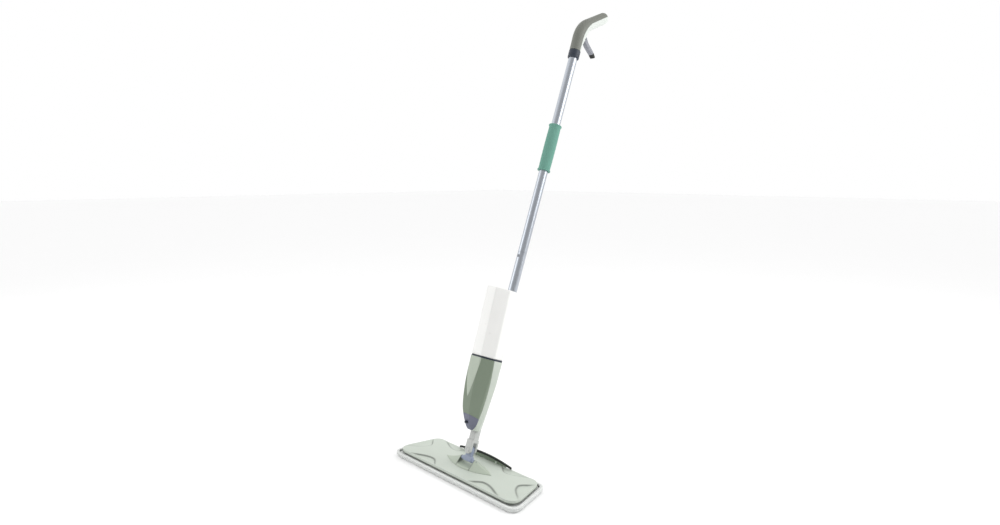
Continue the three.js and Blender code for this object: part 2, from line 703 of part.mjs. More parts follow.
// The holder's outer form between two heights, drawn in by an inset on every side.
function holderForm(from, to, inset, steps) {
  const geometry = new THREE.ExtrudeGeometry(holderSection(), {
    depth: 1, steps, bevelEnabled: false, curveSegments: 1,
  });
  return reshape(geometry, (point) => {
    const height = from + (to - from) * point.z ** STEP_CROWDING;
    const half = reading(HALF_WIDTHS, height) - inset;
    const reach = reading(FRONT_REACHES, height) - inset;
    const rear = REAR_REACH * reading(REAR_SCALES, height) - inset;
    point.x *= half / HOLDER_HALF_WIDTH;
    point.y *= point.y < 0 ? reach / HOLDER_FRONT : rear / REAR_REACH;
    point.z = height;
  });
}

const FAR = 200;

const JOINT_FOOT = -17; // the shells' joint line at the foot
const JOINT_BEND = [-24, NOSE_TOP - 8]; // where the joint line bends
const ABOVE_HOLDER = HOLDER_TOP + 10;

// Everything in front of the sloping joint line between the front and rear shells.
function frontSpace(shift) {
  const outline = new THREE.Shape();
  outline.moveTo(-FAR, 0);
  outline.lineTo(JOINT_FOOT + shift, 0);
  outline.lineTo(JOINT_BEND[0] + shift, JOINT_BEND[1]);
  outline.lineTo(-SIDE_FRONT + shift, ABOVE_HOLDER);
  outline.lineTo(-FAR, ABOVE_HOLDER);
  outline.closePath();
  return sidePlate(outline, -FAR, FAR);
}

const NOSE_BACK_TOP = NOSE_TOP - 13; // the cap's top edge slopes down towards the back
const NOSE_FRONT_TOP = NOSE_TOP + 5;

// Everything below the sloping top edge of the nose cap.
function noseSpace(shift) {
  const outline = new THREE.Shape();
  outline.moveTo(-FAR, 0);
  outline.lineTo(0, 0);
  outline.lineTo(0, NOSE_BACK_TOP + shift);
  outline.lineTo(-HOLDER_FRONT, NOSE_FRONT_TOP + shift);
  outline.lineTo(-FAR, NOSE_FRONT_TOP + shift);
  outline.closePath();
  return sidePlate(outline, -FAR, FAR);
}

const TIP_HALF = 6; // half width of the tongue where its rounded tip starts
const TIP_SHOULDER = 148; // height of that place
const TIP_PULL = 138; // the tip's curve is drawn towards this height
const TONGUE_WIDE = [20, 200]; // pull of the side's upper curve: half width and height
const TONGUE_NARROW = [15, 168]; // pull of its lower curve

// The light tongue set into the holder's front, drawn in X and Z.
function tongueOutline(grow) {
  const top = HOLDER_TOP + 5;
  const [wide, wideZ] = [TONGUE_WIDE[0] + grow, TONGUE_WIDE[1]];
  const [narrow, narrowZ] = [TONGUE_NARROW[0] + grow, TONGUE_NARROW[1]];
  const [tip, tipZ] = [TIP_HALF + grow, TIP_SHOULDER - grow];
  const shape = new THREE.Shape();
  shape.moveTo(-FRONT_HALF - grow, top);
  shape.bezierCurveTo(-wide, wideZ, -narrow, narrowZ, -tip, tipZ);
  shape.quadraticCurveTo(0, TIP_PULL - grow, tip, tipZ);
  shape.bezierCurveTo(narrow, narrowZ, wide, wideZ, FRONT_HALF + grow, top);
  shape.closePath();
  return shape;
}

const FORM_STEPS = 9;
const FLOOR = HOLDER_BOTTOM + 6; // inside height of the holder's closed foot
const TONGUE_SKIN = 1.2; // thickness of the tongue
const outerForm = holderForm(HOLDER_BOTTOM, HOLDER_TOP, 0, FORM_STEPS);
const innerForm = holderForm(FLOOR, HOLDER_TOP + 2, HOLDER_WALL, FORM_STEPS);
const skinForm = holderForm(FLOOR, HOLDER_TOP + 2, TONGUE_SKIN, FORM_STEPS);
const holderShell = cut(outerForm, innerForm);
const NOZZLE_Z = 84;
const NOZZLE_BORE = 3.4;
const NOZZLE_FRONT = -42;
const NOZZLE_BACK = -27;
const JET_R = 0.8;
const nozzleBore = bar('y', NOZZLE_BORE, -FAR, -20, [0, NOZZLE_Z], 16);

function tongueSpace(grow) {
  return frontPlate(tongueOutline(grow), -FAR, -30, 0, 6);
}

function frontShell() {
  const shell = cut(common(holderShell, frontSpace(-GAP / 2)), noseSpace(GAP / 2));
  const pocket = cut(tongueSpace(GAP), skinForm);
  return cut(shell, pocket);
}

function frontTongue() {
  const thinForm = holderForm(FLOOR, HOLDER_TOP + 2, TONGUE_SKIN - GAP, FORM_STEPS);
  return common(cut(outerForm, thinForm), tongueSpace(0));
}

function noseCap() {
  return cut(common(holderShell, frontSpace(-GAP / 2), noseSpace(-GAP / 2)), nozzleBore);
}

const CORE_HALF = 14.4; // half width of the solid core that holds the tube, the pump and the neck
const CORE_FRONT = -14;
const CORE_BACK = 66;
const CORE_CORNER = 3;
const PORT_SLOT_HALF = 4; // half width of the slot that lets the hoses through

function rearShell() {
  const coreOutline = roundedOutline([
    [-CORE_HALF, CORE_FRONT], [CORE_HALF, CORE_FRONT], [CORE_HALF, CORE_BACK], [-CORE_HALF, CORE_BACK],
  ], CORE_CORNER);
  const core = common(outerForm, plate(coreOutline, HOLDER_BOTTOM + 2, HOLDER_TOP));
  const shell = cut(holderShell, frontSpace(GAP / 2));
  const shaftSeat = roundedRectangle(SHAFT_HALF_X + GAP, SHAFT_HALF_Y + GAP, SHAFT_CORNER);
  return cut(
    join(shell, core),
    bar('z', TUBE_R + GAP, TUBE_START - 1, FAR + HOLDER_TOP, [0, 0], RADIAL_STEPS),
    bar('z', PUMP_R + GAP, PUMP_BOTTOM - 1, TUBE_START, [0, 0], 24),
    bar('z', SPIGOT_R + GAP, HOLDER_BOTTOM - 2, PUMP_BOTTOM, [0, 0], 24),
    plate(shaftSeat, SHAFT_BOTTOM, SHAFT_TOP + GAP),
    block([-PORT_SLOT_HALF, -SIDE_FRONT, PUMP_BOTTOM + 4], [PORT_SLOT_HALF, -2, PUMP_TOP - 12]),
  );
}

const RING_SCALE = 0.965; // the ring stands back a little from the holder and the bottle
const RING_WALL = 5.4;
const BRIDGE_FRONT = -17; // the ring is closed behind this place, round the tube

function seatRing() {
  const outline = holderSection();
  const ringForm = reshape(new THREE.ExtrudeGeometry(outline, {
    depth: RING_TOP - HOLDER_TOP - 2 * GAP, steps: 1, bevelEnabled: false, curveSegments: 2,
  }), (point) => {
    point.x *= RING_SCALE;
    point.y *= RING_SCALE;
    point.z += HOLDER_TOP + GAP;
  });
  const opening = holderForm(HOLDER_TOP - 5, RING_TOP + 5, RING_WALL, 1);
  const tubeBore = bar('z', TUBE_R + GAP, HOLDER_TOP - 5, RING_TOP + 5, [0, 0], RADIAL_STEPS);
  const bridge = common(ringForm, block([-FAR, BRIDGE_FRONT, 0], [FAR, FAR, FAR * 2]));
  return cut(join(cut(ringForm, opening), bridge), tubeBore);
}

function nozzle() {
  const tip = bar('y', NOZZLE_BORE - GAP, NOZZLE_FRONT, NOZZLE_BACK, [0, NOZZLE_Z], 12);
  const jet = bar('y', JET_R, NOZZLE_FRONT - 1, NOZZLE_FRONT + 4, [0, NOZZLE_Z], 6);
  return cut(tip, jet);
}

place(handle, 'holder_front_shell', frontShell(), finishes.sageDark);
place(handle, 'holder_front_tongue', frontTongue(), finishes.sageLight);
place(handle, 'holder_rear_shell', rearShell(), finishes.sagePale);
place(handle, 'nose_cap', noseCap(), finishes.slate);
place(handle, 'spray_nozzle', nozzle(), finishes.charcoal);
place(handle, 'bottle_seat_ring', seatRing(), finishes.charcoal);

// The white column behind the bottle, closed round the tube.
const COLUMN_HALF = 17;
const COLUMN_CORNER = 12;

function backColumn() {
  const outline = roundedRectangle(COLUMN_HALF, COLUMN_HALF, COLUMN_CORNER);
  const body = plate(outline, RING_TOP, BOTTLE_TOP, 1);
  return cut(body, bar('z', TUBE_R + GAP, RING_TOP - 5, BOTTLE_TOP + 5, [0, 0], RADIAL_STEPS));
}

place(handle, 'bottle_back_column', backColumn(), finishes.white);

// ---- Bottle --------------------------------------------------------------------------------

const bottle = new THREE.Group();
handle.add(bottle);
const BOTTLE_BACK = -COLUMN_HALF - 0.8;
const BOTTLE_SHOULDER = 186;
const BOTTLE_NECK_Y = -35;
const NECK_FINISH_R = 13;
const CAP_BOTTOM = 158;
const CAP_R = 16.5;
const CAP_FLOOR = 3.4; // thickness of the cap's closed end
const POPPET_R = 4;
const FOOT_INSET = 6.4; // the bottle's foot goes down inside the ring

function bottleBody() {
  const lower = holderForm(BOTTLE_SHOULDER, RING_TOP + GAP, FOOT_INSET, 3);
  const upper = holderForm(RING_TOP + GAP, BOTTLE_TOP, 0, 4);
  const behind = block([-FAR, BOTTLE_BACK, 0], [FAR, FAR, FAR * 3]);
  const neckFinish = bar('z', NECK_FINISH_R, CAP_BOTTOM + 4, BOTTLE_SHOULDER + 2, [0, BOTTLE_NECK_Y], 20);
  return join(cut(join(lower, upper), behind), neckFinish);
}

function bottleCap() {
  const axis = [0, BOTTLE_NECK_Y];
  const outer = bar('z', CAP_R, CAP_BOTTOM, BOTTLE_SHOULDER - 2, axis, 24);
  const inner = bar('z', NECK_FINISH_R + GAP, CAP_BOTTOM + CAP_FLOOR + GAP, BOTTLE_SHOULDER, axis, 20);
  const valveBore = bar('z', POPPET_R + GAP, CAP_BOTTOM - 1, CAP_BOTTOM + CAP_FLOOR + 1, axis);
  return cut(outer, inner, valveBore);
}

function valvePoppet() {
  return bar('z', POPPET_R, CAP_BOTTOM - 2, CAP_BOTTOM + CAP_FLOOR, [0, BOTTLE_NECK_Y]);
}

place(bottle, 'bottle_body', bottleBody(), finishes.white);
place(bottle, 'bottle_cap', bottleCap(), finishes.white);
place(bottle, 'valve_poppet', valvePoppet(), finishes.charcoal);

// ---- Valve seat, pump and hoses ------------------------------------------------------------

const SEAT_TOP = CAP_BOTTOM - 2 - GAP;
const SEAT_BOTTOM = 136;
const INLET_Z = 140;
const OUTLET_Z = 122;
const PORT_FRONT = -19;
const PORT_R = 3.2;
const PORT_BORE = 1.4;
const HOSE_R = 2.6;
const CUP_R = 15;
const CUP_FLOOR = SEAT_BOTTOM + 8;
const WELL_R = 10;
const WELL_FLOOR = SEAT_BOTTOM + 11;
const DRAIN_R = 3.4;
const SPIKE_R = 2.4; // the spike that pushes the bottle's valve open
const BARREL_BORE = 6.4;
const BARREL_FLOOR = PUMP_BOTTOM + 6;
const SPRING_R = 4.6; // return spring under the plunger
const SPRING_WIRE = 0.7;
const SPRING_TOP = PUMP_BOTTOM + 25;
const TURN_STEPS = 8; // points in one turn of a spring

function valveSeat() {
  const axis = [0, BOTTLE_NECK_Y];
  const cup = bar('z', CUP_R, CUP_FLOOR, SEAT_TOP, axis, 24);
  const drain = bar('z', DRAIN_R, SEAT_BOTTOM, CUP_FLOOR + 1, axis);
  const well = bar('z', WELL_R, WELL_FLOOR, SEAT_TOP + 1, axis, 20);
  const spike = bar('z', SPIKE_R, WELL_FLOOR - 1, SEAT_TOP, axis);
  return join(cut(join(cup, drain), well), spike);
}

function pumpBody() {
  const barrel = bar('z', PUMP_R, PUMP_BOTTOM, PUMP_TOP, [0, 0], 24);
  const ports = [INLET_Z, OUTLET_Z].map((z) => bar('y', PORT_R, PORT_FRONT, -5, [0, z]));
  const bore = bar('z', BARREL_BORE, BARREL_FLOOR, PUMP_TOP + 1, [0, 0], 20);
  const portBores = [INLET_Z, OUTLET_Z].map((z) => bar('y', PORT_BORE, PORT_FRONT - 1, -4, [0, z], 8));
  return cut(join(barrel, ...ports), bore, ...portBores);
}

function pumpSpring() {
  const turns = 4;
  const from = BARREL_FLOOR + 2 * SPRING_WIRE;
  const last = turns * TURN_STEPS;
  const points = [];
  for (let index = 0; index <= last; index += 1) {
    const angle = (index / TURN_STEPS) * 2 * Math.PI;
    points.push([
      SPRING_R * Math.cos(angle),
      SPRING_R * Math.sin(angle),
      from + ((SPRING_TOP - from) * index) / last,
    ]);
  }
  return bentBar(points, SPRING_WIRE, turns * 10, 4);
}

const HOSE_GAP = 0.6;
const inletHose = bentBar([
  [0, BOTTLE_NECK_Y, SEAT_BOTTOM - HOSE_GAP],
  [0, BOTTLE_NECK_Y, SEAT_BOTTOM - 3],
  [0, BOTTLE_NECK_Y + 5, SEAT_BOTTOM - 7],
  [0, PORT_FRONT - 6, INLET_Z - 4],
  [0, PORT_FRONT - 3, INLET_Z],
  [0, PORT_FRONT - HOSE_GAP, INLET_Z],
], HOSE_R, 12);
const outletHose = bentBar([
  [0, PORT_FRONT - HOSE_GAP, OUTLET_Z],
  [0, PORT_FRONT - 3, OUTLET_Z],
  [0, PORT_FRONT - 6, OUTLET_Z - 8],
  [0, PORT_FRONT - 2, NOZZLE_Z + 12],
  [0, PORT_FRONT - 3, NOZZLE_Z + 1],
  [0, PORT_FRONT - 5, NOZZLE_Z],
  [0, NOZZLE_BACK + HOSE_GAP, NOZZLE_Z],
], HOSE_R, 14);

place(handle, 'valve_seat', valveSeat(), finishes.innerGrey);
place(handle, 'pump_body', pumpBody(), finishes.innerGrey);
place(handle, 'pump_spring', pumpSpring(), finishes.steel);
place(handle, 'inlet_hose', inletHose, finishes.hose);
place(handle, 'outlet_hose', outletHose, finishes.hose);

// ---- Tubes and their snap joint ------------------------------------------------------------

const SLEEVE_R = TUBE_R - TUBE_WALL - GAP;
const SLEEVE_BORE = 7.8;
const SLEEVE_START = 440;
const SLEEVE_END = 560;
const BUTTON_R = 3.4;
const BUTTON_STANDS = 2.2; // how far the button stands out of the tube
const BUTTON_FOOT = -8.2;
const SPRING_HALF = 2.6; // half width of the leaf spring
const SPRING_THICKNESS = 0.5;
const SPRING_FOOT = -6.4; // the spring's lower end, on the sleeve's bore
const SPRING_HEAD = -3.6; // its upper end, behind the button
const SPRING_REACH = 26; // from the button down to the spring's lower end

const buttonHole = bar('y', BUTTON_R + 0.2, -TUBE_R - 5, -4, [0, BUTTON_HEIGHT], 16);

place(
  handle,
  'lower_tube',
  cut(ring(TUBE_R - TUBE_WALL, TUBE_R, TUBE_START, TUBE_BREAK), buttonHole),
  finishes.aluminium,
);
place(
  handle,
  'upper_tube',
  ring(TUBE_R - TUBE_WALL, TUBE_R, TUBE_BREAK + GAP, TUBE_END),
  finishes.aluminium,
);
place(
  handle,
  'tube_coupling_sleeve',
  cut(ring(SLEEVE_BORE, SLEEVE_R, SLEEVE_START, SLEEVE_END), buttonHole),
  finishes.innerGrey,
);

// A leaf spring bent in a narrow U behind the button, standing on the sleeve's bore.
function snapSpring() {
  const shape = new THREE.Shape();
  const [low, bend, high] = [BUTTON_HEIGHT - SPRING_REACH, BUTTON_HEIGHT + 3, BUTTON_HEIGHT + 5];
  shape.moveTo(SPRING_FOOT - SPRING_THICKNESS, low);
  shape.lineTo(SPRING_FOOT, low);
  shape.lineTo(SPRING_HEAD, bend);
  shape.lineTo(SPRING_HEAD, high);
  shape.lineTo(SPRING_HEAD - SPRING_THICKNESS, high);
  shape.lineTo(SPRING_HEAD - SPRING_THICKNESS, bend);
  shape.closePath();
  return sidePlate(shape, -SPRING_HALF, SPRING_HALF);
}

const snapButton = new THREE.Group();
handle.add(snapButton);

function snapButtonBody() {
  const half = new THREE.Shape();
  const face = -TUBE_R - BUTTON_STANDS;
  half.moveTo(0, face);
  half.quadraticCurveTo(BUTTON_R, face, BUTTON_R, -TUBE_R + 0.4);
  half.lineTo(BUTTON_R, BUTTON_FOOT);
  half.lineTo(0, BUTTON_FOOT);
  const profile = half.getPoints(4).map((point) => new THREE.Vector2(point.x, point.y));
  return new THREE.LatheGeometry(profile, 16).translate(0, 0, BUTTON_HEIGHT);
}

place(handle, 'snap_spring', snapSpring(), finishes.steel);
place(snapButton, 'snap_button', snapButtonBody(), finishes.triggerGrey);

// ---- Soft grip and collar ------------------------------------------------------------------

const FLANGE_R = MID_GRIP_R + 1.2;
const FLANGE = 4; // height of each end flange
const WAIST_R = MID_GRIP_R - 0.6; // the sleeve is a little slimmer beside its flanges
const WAIST = FLANGE + 1.5;

function midGrip() {
  return turned([
    [TUBE_R + GAP, MID_GRIP_START],
    [FLANGE_R, MID_GRIP_START],
    [FLANGE_R, MID_GRIP_START + FLANGE],
    [WAIST_R, MID_GRIP_START + WAIST],
    [MID_GRIP_R, (MID_GRIP_START + MID_GRIP_END) / 2],
    [WAIST_R, MID_GRIP_END - WAIST],
    [FLANGE_R, MID_GRIP_END - FLANGE],
    [FLANGE_R, MID_GRIP_END],
    [TUBE_R + GAP, MID_GRIP_END],
  ]);
}

const COLLAR_R = 14.4;
const COLLAR_NOSE = 13; // radius at the collar's chamfered lower end
const COLLAR_CHAMFER = 3;
const collar = turned([
  [TUBE_R + GAP, COLLAR_START],
  [COLLAR_NOSE, COLLAR_START],
  [COLLAR_R - 0.2, COLLAR_START + COLLAR_CHAMFER],
  [COLLAR_R, GRIP_START - GAP],
  [TUBE_R + GAP, GRIP_START - GAP],
]);

place(handle, 'mid_grip', midGrip(), finishes.teal);
place(handle, 'collar', collar, finishes.charcoal);

// ---- Bent hand grip ------------------------------------------------------------------------

const GRIP_BEND = THREE.MathUtils.degToRad(46.5);
const GRIP_VERTEX = 1093; // where the grip's two straight runs would meet
const GRIP_REACH = 112; // from that corner to the tip
const BEND_RADIUS = 70;
const GRIP_WALL = 2.6;
const bendReach = BEND_RADIUS * Math.tan(GRIP_BEND / 2);
const bendStart = GRIP_VERTEX - bendReach;
const rearDirection = new THREE.Vector2(Math.sin(GRIP_BEND), Math.cos(GRIP_BEND));
const rearNormal = new THREE.Vector2(-rearDirection.y, rearDirection.x);

// A point beside the grip's rear run: distance along it and distance above it.
function onRear(along, above) {
  return [
    rearDirection.x * along + rearNormal.x * above,
    GRIP_VERTEX + rearDirection.y * along + rearNormal.y * above,
  ];
}

const bendLength = BEND_RADIUS * GRIP_BEND;
const rearStart = bendStart - GRIP_START + bendLength;
const gripLength = rearStart + GRIP_REACH - bendReach;

// Half width, reach towards the front or top, and reach towards the back or underside, each at
// distances along the grip's middle line from its lower end.
const GRIP_WIDTHS = [[0, 14.2], [30, 14.6], [70, 15.4], [120, 14.8], [gripLength - 8, 13], [gripLength, 8]];
const GRIP_TOPS = [[0, 14.2], [30, 15], [62, 16.4], [100, 15], [gripLength - 8, 14], [gripLength, 10]];
const GRIP_UNDERS = [
  [0, 14.2], [18, 14.8], [38, 21], [56, 20], [74, 16], [100, 15.2], [gripLength - 14, 15], [gripLength, 8],
];

// Where the grip's middle line is at a distance along it, and which way it is heading.
function gripMiddle(distance) {
  const bendFrom = bendStart - GRIP_START;
  if (distance <= bendFrom) return { y: 0, z: GRIP_START + distance, turn: 0 };
  if (distance >= rearStart) {
    const [y, z] = onRear(bendReach + distance - rearStart, 0);
    return { y, z, turn: GRIP_BEND };
  }
  const turn = (distance - bendFrom) / BEND_RADIUS;
  return {
    y: BEND_RADIUS * (1 - Math.cos(turn)),
    z: bendStart + BEND_RADIUS * Math.sin(turn),
    turn,
  };
}

// The grip's rounded form, drawn in by an inset on every side.
function gripForm(inset, from) {
  const section = new THREE.Shape().absarc(0, 0, 1, 0, 2 * Math.PI);
  const geometry = new THREE.ExtrudeGeometry(section, {
    depth: 1, steps: 15, bevelEnabled: false, curveSegments: 8,
  });
  return reshape(geometry, (point) => {
    const distance = from + (gripLength - inset - from) * point.z;
    const { y, z, turn } = gripMiddle(distance);
    const reach = reading(point.y > 0 ? GRIP_UNDERS : GRIP_TOPS, distance) - inset;
    const across = point.y * reach;
    point.x *= reading(GRIP_WIDTHS, distance) - inset;
    point.y = y + across * Math.cos(turn);
    point.z = z - across * Math.sin(turn);
  });
}

const SEAM_Y = 3; // the shells' seam beside the grip's lower run
const SEAM_ABOVE = 2; // and above its rear run
const SEAM_CURVE = [30, 34]; // reach of the seam's curve below and behind the bend

// The space in front of and above the seam between the grip's two shells.
function coverSpace(shift) {
  const outline = new THREE.Shape();
  const front = SEAM_Y + shift;
  const above = SEAM_ABOVE - shift;
  outline.moveTo(-FAR, GRIP_START - 10);
  outline.lineTo(front, GRIP_START - 10);
  outline.lineTo(front, GRIP_VERTEX - SEAM_CURVE[0]);
  outline.quadraticCurveTo(front, GRIP_VERTEX, ...onRear(SEAM_CURVE[1], above));
  outline.lineTo(...onRear(GRIP_REACH + 20, above));
  outline.lineTo(-FAR, GRIP_VERTEX + FAR);
  outline.closePath();
  return sidePlate(outline, -FAR / 5, FAR / 5, 0, 6);
}

const gripOuter = gripForm(0, 0);
const gripShell = cut(gripOuter, gripForm(GRIP_WALL, -2));
const SOCKET_R = 14; // the socket inside the grip that holds the tube's end
const tubeSocket = cut(
  bar('z', SOCKET_R, GRIP_START, TUBE_END + 3, [0, 0], 24),
  bar('z', TUBE_R + GAP, GRIP_START - 1, TUBE_END + 4, [0, 0], RADIAL_STEPS),
);
const SLOT_HALF = 6.4;
const SLOT_FRONT = 8;
const SLOT_DROP = 30; // how far the slot reaches below the trigger's pivot
const SLOT_RISE = 9; // and above it
const TRIGGER_PIN_HALF = 9.3;
const CHEEK = 3; // thickness of the cheeks that hold the trigger's pin
const CHEEK_REACH = 12; // from the pivot to the cheeks' lower and upper edges
const CHEEK_SPAN = [12, 40];
const pivot = [TRIGGER_Y, TRIGGER_Z];
const triggerSlot = block(
  [-SLOT_HALF, SLOT_FRONT, TRIGGER_Z - SLOT_DROP],
  [SLOT_HALF, FAR, TRIGGER_Z + SLOT_RISE],
);
const pinBoreHalf = TRIGGER_PIN_HALF + GAP;
const triggerPinBore = bar('x', TRIGGER_PIN_R + GAP, -pinBoreHalf, pinBoreHalf, pivot);

function lowerShell() {
  const [inner, outer] = [SLOT_HALF, SLOT_HALF + CHEEK];
  const cheeks = [-1, 1].map((side) => common(gripOuter, block(
    [Math.min(side * inner, side * outer), CHEEK_SPAN[0], TRIGGER_Z - CHEEK_REACH],
    [Math.max(side * inner, side * outer), CHEEK_SPAN[1], TRIGGER_Z + CHEEK_REACH],
  )));
  const shell = cut(join(gripShell, tubeSocket, ...cheeks), coverSpace(GAP / 2));
  return cut(shell, triggerSlot, triggerPinBore);
}

function topCover() {
  return common(join(gripShell, tubeSocket), coverSpace(-GAP / 2));
}

place(handle, 'grip_lower_shell', lowerShell(), finishes.gripLight);
place(handle, 'grip_top_cover', topCover(), finishes.gripDark);

// ---- Trigger, rod and plunger --------------------------------------------------------------

const trigger = new THREE.Group();
handle.add(trigger);
const TRIGGER_HALF = 5.8;
const TIP_START = [62, 1055]; // where the dark tip takes over, behind and below the pivot
const TRIGGER_TIP = [73, 1049.5];
const NOSE_HALF = 2.6; // half thickness of the trigger's nose, which fits the rod's groove
const NOSE_LENGTH = 7; // from the pivot to where the nose starts
const COIL_R = 3.2; // return spring beside the pivot
const COIL_WIRE = 0.45;
const COIL_START = 3.4;
const COIL_PITCH = 1.1;

function triggerBody() {
  const outline = roundedOutline([
    [LINK_Y - 2, TRIGGER_Z - 2.2, 2],
    [LINK_Y + 4, TRIGGER_Z - 2.6, 2],
    [TRIGGER_Y, TRIGGER_Z - 7, 5],
    [TRIGGER_Y + 14, TRIGGER_Z - 15, 8],
    [TIP_START[0] - 2, TIP_START[1] - 4.4, 2],
    [TIP_START[0] + 1.8, TIP_START[1] + 3.6, 2],
    [TRIGGER_Y + 12, TRIGGER_Z - 3, 8],
    [TRIGGER_Y + 3, TRIGGER_Z + 6, 4],
    [LINK_Y + 4, TRIGGER_Z + 2.6, 2],
    [LINK_Y - 2, TRIGGER_Z + 2.2, 2],
  ], 1);
  const body = sidePlate(outline, -TRIGGER_HALF, TRIGGER_HALF, 0, 4);
  const pinBore = bar('x', boreFor(TRIGGER_PIN_R), -SLOT_HALF, SLOT_HALF, pivot);
  const narrowing = [-1, 1].map((side) => block(
    [Math.min(side * NOSE_HALF, side * SLOT_HALF), -NOSE_LENGTH, TRIGGER_Z - CHEEK_REACH],
    [Math.max(side * NOSE_HALF, side * SLOT_HALF), TRIGGER_Y - NOSE_LENGTH, TRIGGER_Z + CHEEK_REACH],
  ));
  const springPocket = block(
    [NOSE_HALF, TRIGGER_Y - NOSE_LENGTH - 1, TRIGGER_Z - 6],
    [SLOT_HALF, TRIGGER_Y + 6, TRIGGER_Z + 7],
  );
  return cut(body, pinBore, springPocket, ...narrowing);
}

function triggerTip() {
  const outline = roundedOutline([
    [TIP_START[0] - 1.6, TIP_START[1] - 4.6, 2],
    [TRIGGER_TIP[0] - 2.6, TRIGGER_TIP[1] - 4.4, 3],
    [TRIGGER_TIP[0] + 2.4, TRIGGER_TIP[1] + 2.4, 3],
    [TIP_START[0] + 2.2, TIP_START[1] + 3.4, 2],
  ], 1);
  return sidePlate(outline, -TRIGGER_HALF, TRIGGER_HALF, 0, 4);
}

function triggerSpring() {
  const turns = 2;
  const points = [];
  for (let index = 0; index <= turns * TURN_STEPS; index += 1) {
    const turn = index / TURN_STEPS;
    points.push([
      COIL_START + turn * COIL_PITCH,
      TRIGGER_Y + COIL_R * Math.cos(turn * 2 * Math.PI),
      TRIGGER_Z + COIL_R * Math.sin(turn * 2 * Math.PI),
    ]);
  }
  return bentBar(points, COIL_WIRE, turns * 10, 4);
}

place(trigger, 'trigger', triggerBody(), finishes.triggerGrey);
place(trigger, 'trigger_tip', triggerTip(), finishes.blackRubber);
const triggerPin = bar('x', TRIGGER_PIN_R, -TRIGGER_PIN_HALF, TRIGGER_PIN_HALF, pivot);
place(handle, 'trigger_pin', triggerPin, finishes.steel);
place(handle, 'trigger_spring', triggerSpring(), finishes.steel);

const sprayRod = new THREE.Group();
handle.add(sprayRod);
const PLUNGER_BOTTOM = 141;
const PLUNGER_TOP = 184;
const LINK_R = 6.2;
const LINK_FOOT_R = 4.4;
const LINK_WAIST_R = 2.8;
const LINK_BOTTOM = TRIGGER_Z - 12;
const LINK_GROOVE = 2.9; // half height of the groove that the trigger's nose sits in
const GROOVE_LOW = TRIGGER_Z - LINK_GROOVE;
const GROOVE_HIGH = TRIGGER_Z + LINK_GROOVE;
const LINK_TOP = GROOVE_HIGH + 2;

function rodLink() {
  return turned([
    [0, LINK_BOTTOM], [LINK_FOOT_R, LINK_BOTTOM], [LINK_R, GROOVE_LOW - 3],
    [LINK_R, GROOVE_LOW], [LINK_WAIST_R, GROOVE_LOW],
    [LINK_WAIST_R, GROOVE_HIGH], [LINK_R, GROOVE_HIGH],
    [LINK_R, LINK_TOP], [0, LINK_TOP],
  ], 20);
}

const PISTON_R = 6;
const STEM_R = 3.6;
const SEAL_SEAT_R = 4.6;
const SEAL_SEAT = [PLUNGER_BOTTOM + 3, PLUNGER_BOTTOM + 6]; // groove that holds the seal
const PISTON_TOP = PLUNGER_BOTTOM + 10;

function plunger() {
  return turned([
    [0, PLUNGER_BOTTOM], [PISTON_R, PLUNGER_BOTTOM], [PISTON_R, SEAL_SEAT[0]],
    [SEAL_SEAT_R, SEAL_SEAT[0]], [SEAL_SEAT_R, SEAL_SEAT[1]], [PISTON_R, SEAL_SEAT[1]],
    [PISTON_R, PISTON_TOP], [STEM_R, PISTON_TOP + 2], [STEM_R, PLUNGER_TOP], [0, PLUNGER_TOP],
  ], 20);
}

const SEAL_HALF = 1.1;
const sealMiddle = (SEAL_SEAT[0] + SEAL_SEAT[1]) / 2;
const plungerSeal = ring(
  SEAL_SEAT_R + GAP, BARREL_BORE - 0.1, sealMiddle - SEAL_HALF, sealMiddle + SEAL_HALF, 20,
);
const pushRod = bar('z', ROD_R, PLUNGER_TOP + GAP, LINK_BOTTOM - GAP, [0, 0], 12);

place(sprayRod, 'push_rod', pushRod, finishes.steel);
place(sprayRod, 'rod_link', rodLink(), finishes.innerGrey);
place(sprayRod, 'pump_plunger', plunger(), finishes.innerGrey);
place(sprayRod, 'plunger_seal', plungerSeal, finishes.blackRubber);

const GUIDE_HEIGHT = 12;
const GUIDE_CLEARANCE = 0.4; // the rod slides freely in its guides
[['lower', 188], ['upper', 1000]].forEach(([name, z]) => {
  const guide = ring(ROD_R + GUIDE_CLEARANCE, TUBE_R - TUBE_WALL - GAP, z, z + GUIDE_HEIGHT, 20);
  place(handle, `rod_guide_${name}`, guide, finishes.innerGrey);
});

export default mop;
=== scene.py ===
import json
import math
from contextlib import contextmanager

import bmesh
import bpy
from mathutils import Matrix, Vector


